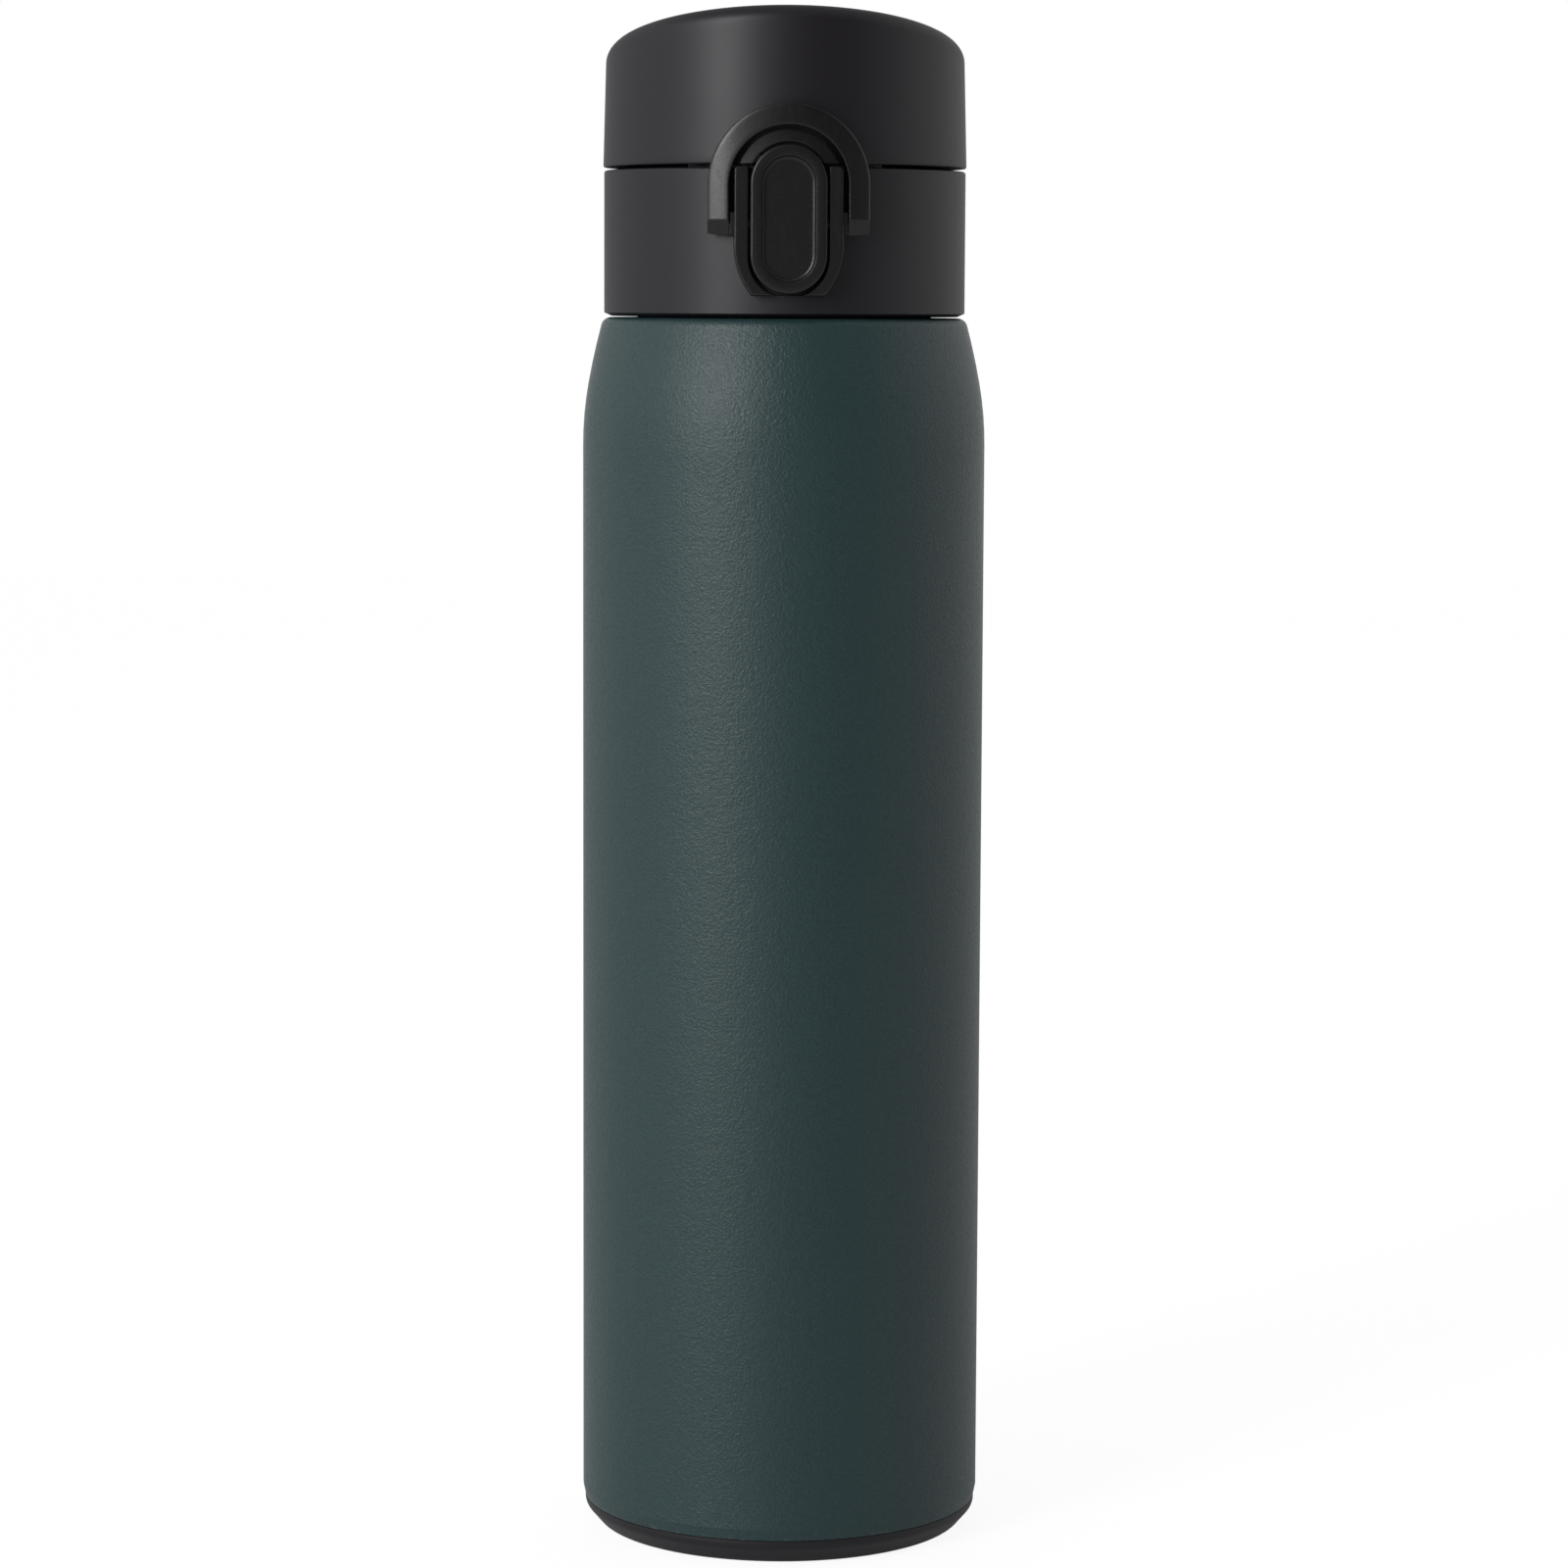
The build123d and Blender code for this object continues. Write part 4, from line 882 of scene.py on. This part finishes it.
def housing_stations(top_z):
    """Pairs of pocket and outer points down the right-hand rail and round to where the pocket breaks out."""
    pocket_z = low("latch_housing").z + POCKET_RISE
    centre, radius = circle_through(
        (HOUSING_HALF - FOOT_IN, HOUSING_FOOT_Z),
        (HOUSING_HALF - BEND_IN, HOUSING_FOOT_Z + BEND_UP),
        (HOUSING_HALF, HOUSING_FOOT_Z + CORNER_H),
    )
    pairs = []
    tops = [top_z - RAIL_TOP_R * (1 - math.cos(a)) for a in between(0, math.pi / 2, 6)]
    for z in tops + between(tops[-1], pocket_z, 28)[1:-1]:
        if z > HOUSING_FOOT_Z + CORNER_H:
            sunk = max(RAIL_TOP_R - (top_z - z), 0.0)
            outer = HOUSING_HALF - RAIL_TOP_R + math.sqrt(RAIL_TOP_R**2 - sunk**2)
        else:
            outer = centre.x + math.sqrt(radius**2 - (z - centre.y) ** 2)
        pairs.append(((POCKET_HALF, z), (outer, z)))
    breaks_out = math.degrees(math.asin((pocket_z - HOUSING_FOOT_Z) / POCKET_HALF))
    middle = Vector((0.0, pocket_z))
    for turn in between(0, -breaks_out, 40):
        ray = Vector((math.cos(math.radians(turn)), math.sin(math.radians(turn))))
        offset = middle - centre
        along = ray.dot(offset)
        reach = -along + math.sqrt(max(along**2 - offset.length_squared + radius**2, 0.0))
        if ray.y < 0:
            reach = min(reach, (HOUSING_FOOT_Z - pocket_z) / ray.y)
        reach = max(reach, POCKET_HALF)
        pairs.append((tuple(middle + ray * POCKET_HALF), tuple(middle + ray * reach)))
    return pairs


def circle_through(a, b, c):
    """Centre and radius of the circle through three points."""
    a, b, c = Vector(a), Vector(b), Vector(c)
    lines = Matrix((b - a, c - a))
    middles = Vector(((b - a).dot((a + b) / 2), (c - a).dot((a + c) / 2)))
    centre = lines.inverted() @ middles
    return centre, (centre - a).length


class FLASK_OT_catch(bpy.types.Operator):
    """Arched catch on the lid, with the lug that the button's nose holds"""

    bl_idname = "flask.catch"
    bl_label = "Lid catch"

    def execute(self, context):
        near, far = low("lid_catch"), high("lid_catch")
        outer_r, inner_r = CATCH_HALF, POCKET_HALF
        outer_z = far.z - outer_r
        inner_z = high("button").z + CATCH_GAP - inner_r
        outer_start = math.degrees(math.asin((near.z - outer_z) / outer_r))
        inner_start = math.degrees(math.asin((near.z - inner_z) / inner_r))
        outer_arc = bend((0.0, outer_z), outer_r, outer_start, 180 - outer_start, 72)
        inner_arc = bend((0.0, inner_z), inner_r, inner_start, 180 - inner_start, 72)
        catch = Shape()
        catch.band(list(zip(inner_arc, outer_arc)), LID_R - CATCH_ROOT, CATCH_R, CATCH_EDGES)
        lug_low = near.z + LUG_RISE
        lug_half = POCKET_HALF + LUG_BITE
        stations = [((x, lug_low), (x, lug_low + LUG_H)) for x in between(-lug_half, lug_half, 24)]
        catch.band(stations, LID_R - LUG_ROOT, LUG_R, (LUG_EDGE, LUG_EDGE))
        dress(catch.make("catch"), "lid", "black_gloss_plastic", finish_named("gloss black"), "lid_catch")
        return {"FINISHED"}


def toe_drop(x):
    """Depth under the pivot where the toe's slope meets the leg's round end, at x to the side."""
    reached, missed = 0.0, LEG_END_R
    for _ in range(24):
        drop = (reached + missed) / 2
        toe_r = RING_R - (TOE_RISE + drop) * TOE_SLOPE
        if -math.sqrt(toe_r**2 - x * x) > PIVOT_Y + math.sqrt(LEG_END_R**2 - drop**2):
            missed = drop
        else:
            reached = drop
    return reached


class FLASK_OT_ring(bpy.types.Operator):
    """Lock ring that swings down over the latch"""

    bl_idname = "flask.ring"
    bl_label = "Lock ring"

    def execute(self, context):
        far = high("lock_ring")
        half, inner = far.x, RING_INNER_HALF
        arch_z = far.z - half
        fine_z = PIVOT_Z + LEG_FINE_H
        leg_zs = between(arch_z, fine_z, 10)[1:] + between(fine_z, PIVOT_Z, 8)[1:]
        leg_zs += [PIVOT_Z - LEG_END_R * math.sin(math.radians(a)) for a in between(0, 86, 12)]
        arcs = list(zip(bend((0.0, arch_z), inner, 0, 180, 96), bend((0.0, arch_z), half, 0, 180, 96)))
        right = [((inner, z), (half, z)) for z in reversed(leg_zs)]
        left = [((-inner, z), (-half, z)) for z in leg_zs]

        def limit(point):
            """Keeps a point inside the leg's round end and behind its sloped toe."""
            radius = math.hypot(point.x, point.y)
            if abs(point.x) < RING_RELIEF_HALF and radius < RING_RELIEF_R:
                point = on_front(point.x, point.z, RING_RELIEF_R)
            drop = PIVOT_Z - point.z
            if drop > 0:
                drop *= toe_drop(abs(point.x)) / LEG_END_R
                point.z = PIVOT_Z - drop
            toe_r = RING_R - (TOE_RISE + drop) * TOE_SLOPE
            if radius > toe_r:
                point = on_front(point.x, point.z, toe_r)
            if drop > 0:
                reach = math.sqrt(max(LEG_END_R**2 - drop**2, 0.0))
                point.y = min(max(point.y, PIVOT_Y - reach), PIVOT_Y + reach)
            return point

        ring = Shape()
        ring.band(right + arcs + left, RING_BACK_R, RING_R, (RING_EDGE, RING_EDGE), limit)
        dress(ring.make("ring"), "lock_ring", "black_gloss_plastic", finish_named("gloss black"), "lock_ring")
        return {"FINISHED"}


class FLASK_OT_studio(bpy.types.Operator):
    """White table, softbox, surroundings and camera"""

    bl_idname = "flask.studio"
    bl_label = "Studio"

    def execute(self, context):
        studio = context.scene.flask_studio
        add_table()
        add_surroundings(context.scene)
        add_lamp("key", KEY_PLACE, KEY_AIM, *KEY_SIZE, studio.key_power)
        add_camera(context.scene, studio)
        context.scene.view_settings.view_transform = "Standard"
        return {"FINISHED"}


def add_table():
    """Round white table top that keeps the flask's shadow."""
    table = Shape()
    turns = [math.tau * i / 96 for i in range(96)]
    table.skin([[Vector((r * math.cos(a), r * math.sin(a), 0.0)) for a in turns] for r in TABLE_RINGS])
    top = table.make("table")
    white = bpy.data.materials.new("table white")
    finish = Finish(white)
    place = finish.place()
    weave = finish.noise(place, 1.2 * MM, 3.0)
    tint = finish.blend(weave, (0.5, 0.5, 0.5), (0.54, 0.54, 0.54))
    lit = finish.shader(tint, 0.6, finish.bump(weave, 0.02 * MM, 0.1))
    glow = finish.node("ShaderNodeEmission", {}, {"Color": (1.0, 1.0, 1.0, 1.0), "Strength": TABLE_GLOW})[0]
    seen = finish.seen(TABLE_MIRRORED) * TABLE_GLOW_SHARE
    finish.surface(finish.node("ShaderNodeMixShader", {}, {0: seen, 1: lit, 2: glow})[0])
    top.data.materials.append(white)


def add_surroundings(scene):
    """Studio walls: bright on the left, dark on the front right, dim behind; white to the camera."""
    world = bpy.data.worlds.new("studio walls")
    scene.world = world
    walls = Finish(world)
    direction = walls.node("ShaderNodeTexCoord", {}, {})[0]
    across, deep, up = walls.axes(direction)
    turn = walls.node("ShaderNodeMath", {"operation": "ARCTAN2"}, {0: across, 1: 0.0 - deep})[0]
    around = turn / math.tau + 0.5
    walls_level = walls.node("ShaderNodeValToRGB", {"stops": WALLS}, {0: around})[0]
    ceiling = walls.ramped(up, 0.45, 0.95)
    level = walls.blend(ceiling, walls_level, (CEILING, CEILING, CEILING))
    light = walls.node("ShaderNodeBackground", {}, {"Color": level, "Strength": 1.0})[0]
    white = walls.node("ShaderNodeBackground", {}, {"Color": (1.0, 1.0, 1.0, 1.0), "Strength": 1.0})[0]
    backdrop = walls.ramped(deep, BACKDROP_START, BACKDROP_END)
    shown = walls.node("ShaderNodeMixShader", {}, {0: walls.seen(backdrop), 1: light, 2: white})[0]
    walls.node("ShaderNodeOutputWorld", {}, {0: shown})


def add_lamp(name, place, aim, width, height, power):
    """Rectangular softbox turned towards a point."""
    light = bpy.data.lights.new(name, "AREA")
    light.shape = "RECTANGLE"
    light.size = width
    light.size_y = height
    light.energy = power
    lamp = bpy.data.objects.new(name, light)
    lamp.location = place
    lamp.rotation_euler = (Vector(aim) - Vector(place)).to_track_quat("-Z", "Y").to_euler()
    bpy.context.scene.collection.objects.link(lamp)


def add_camera(scene, studio):
    """Camera at a turn, distance and height from the flask's axis."""
    eye = bpy.data.cameras.new("camera")
    eye.lens = studio.lens
    eye.sensor_width = 36.0
    camera = bpy.data.objects.new("camera", eye)
    turn, away = studio.azimuth, studio.distance
    spot = Matrix.Translation((away * math.sin(turn), -away * math.cos(turn), studio.height))
    aim = Matrix.Rotation(turn + studio.pan, 4, "Z") @ Matrix.Rotation(math.pi / 2 - studio.pitch, 4, "X")
    camera.matrix_world = spot @ aim @ Matrix.Rotation(studio.roll, 4, "Z")
    scene.collection.objects.link(camera)
    scene.camera = camera


class FLASK_PT_sidebar(bpy.types.Panel):
    """Lists the flask's sizes, colours and steps"""

    bl_idname = "FLASK_PT_sidebar"
    bl_label = "Vacuum flask"
    bl_space_type = "VIEW_3D"
    bl_region_type = "UI"
    bl_category = "Flask"

    def draw(self, context):
        for group in (context.scene.flask_sizes, context.scene.flask_colours, context.scene.flask_studio):
            box = self.layout.box()
            for name in group.bl_rna.properties.keys():
                if name not in ("rna_type", "name"):
                    box.prop(group, name)
        for step in STEPS:
            self.layout.operator(step.bl_idname)


GROUPS = {"flask_sizes": FlaskSizes, "flask_colours": FlaskColours, "flask_studio": FlaskStudio}
STEPS = (
    FLASK_OT_studio,
    FLASK_OT_bottle,
    FLASK_OT_cap,
    FLASK_OT_lid,
    FLASK_OT_button,
    FLASK_OT_housing,
    FLASK_OT_catch,
    FLASK_OT_ring,
)


def register():
    for made in (*GROUPS.values(), *STEPS, FLASK_PT_sidebar):
        bpy.utils.register_class(made)
    for name, group in GROUPS.items():
        setattr(bpy.types.Scene, name, bpy.props.PointerProperty(type=group))


def unregister():
    for name in GROUPS:
        delattr(bpy.types.Scene, name)
    for made in (FLASK_PT_sidebar, *reversed(STEPS), *GROUPS.values()):
        bpy.utils.unregister_class(made)


def main():
    register()
    for step in STEPS:
        group, action = step.bl_idname.split(".")
        getattr(getattr(bpy.ops, group), action)()


if __name__ == "__main__":
    main()
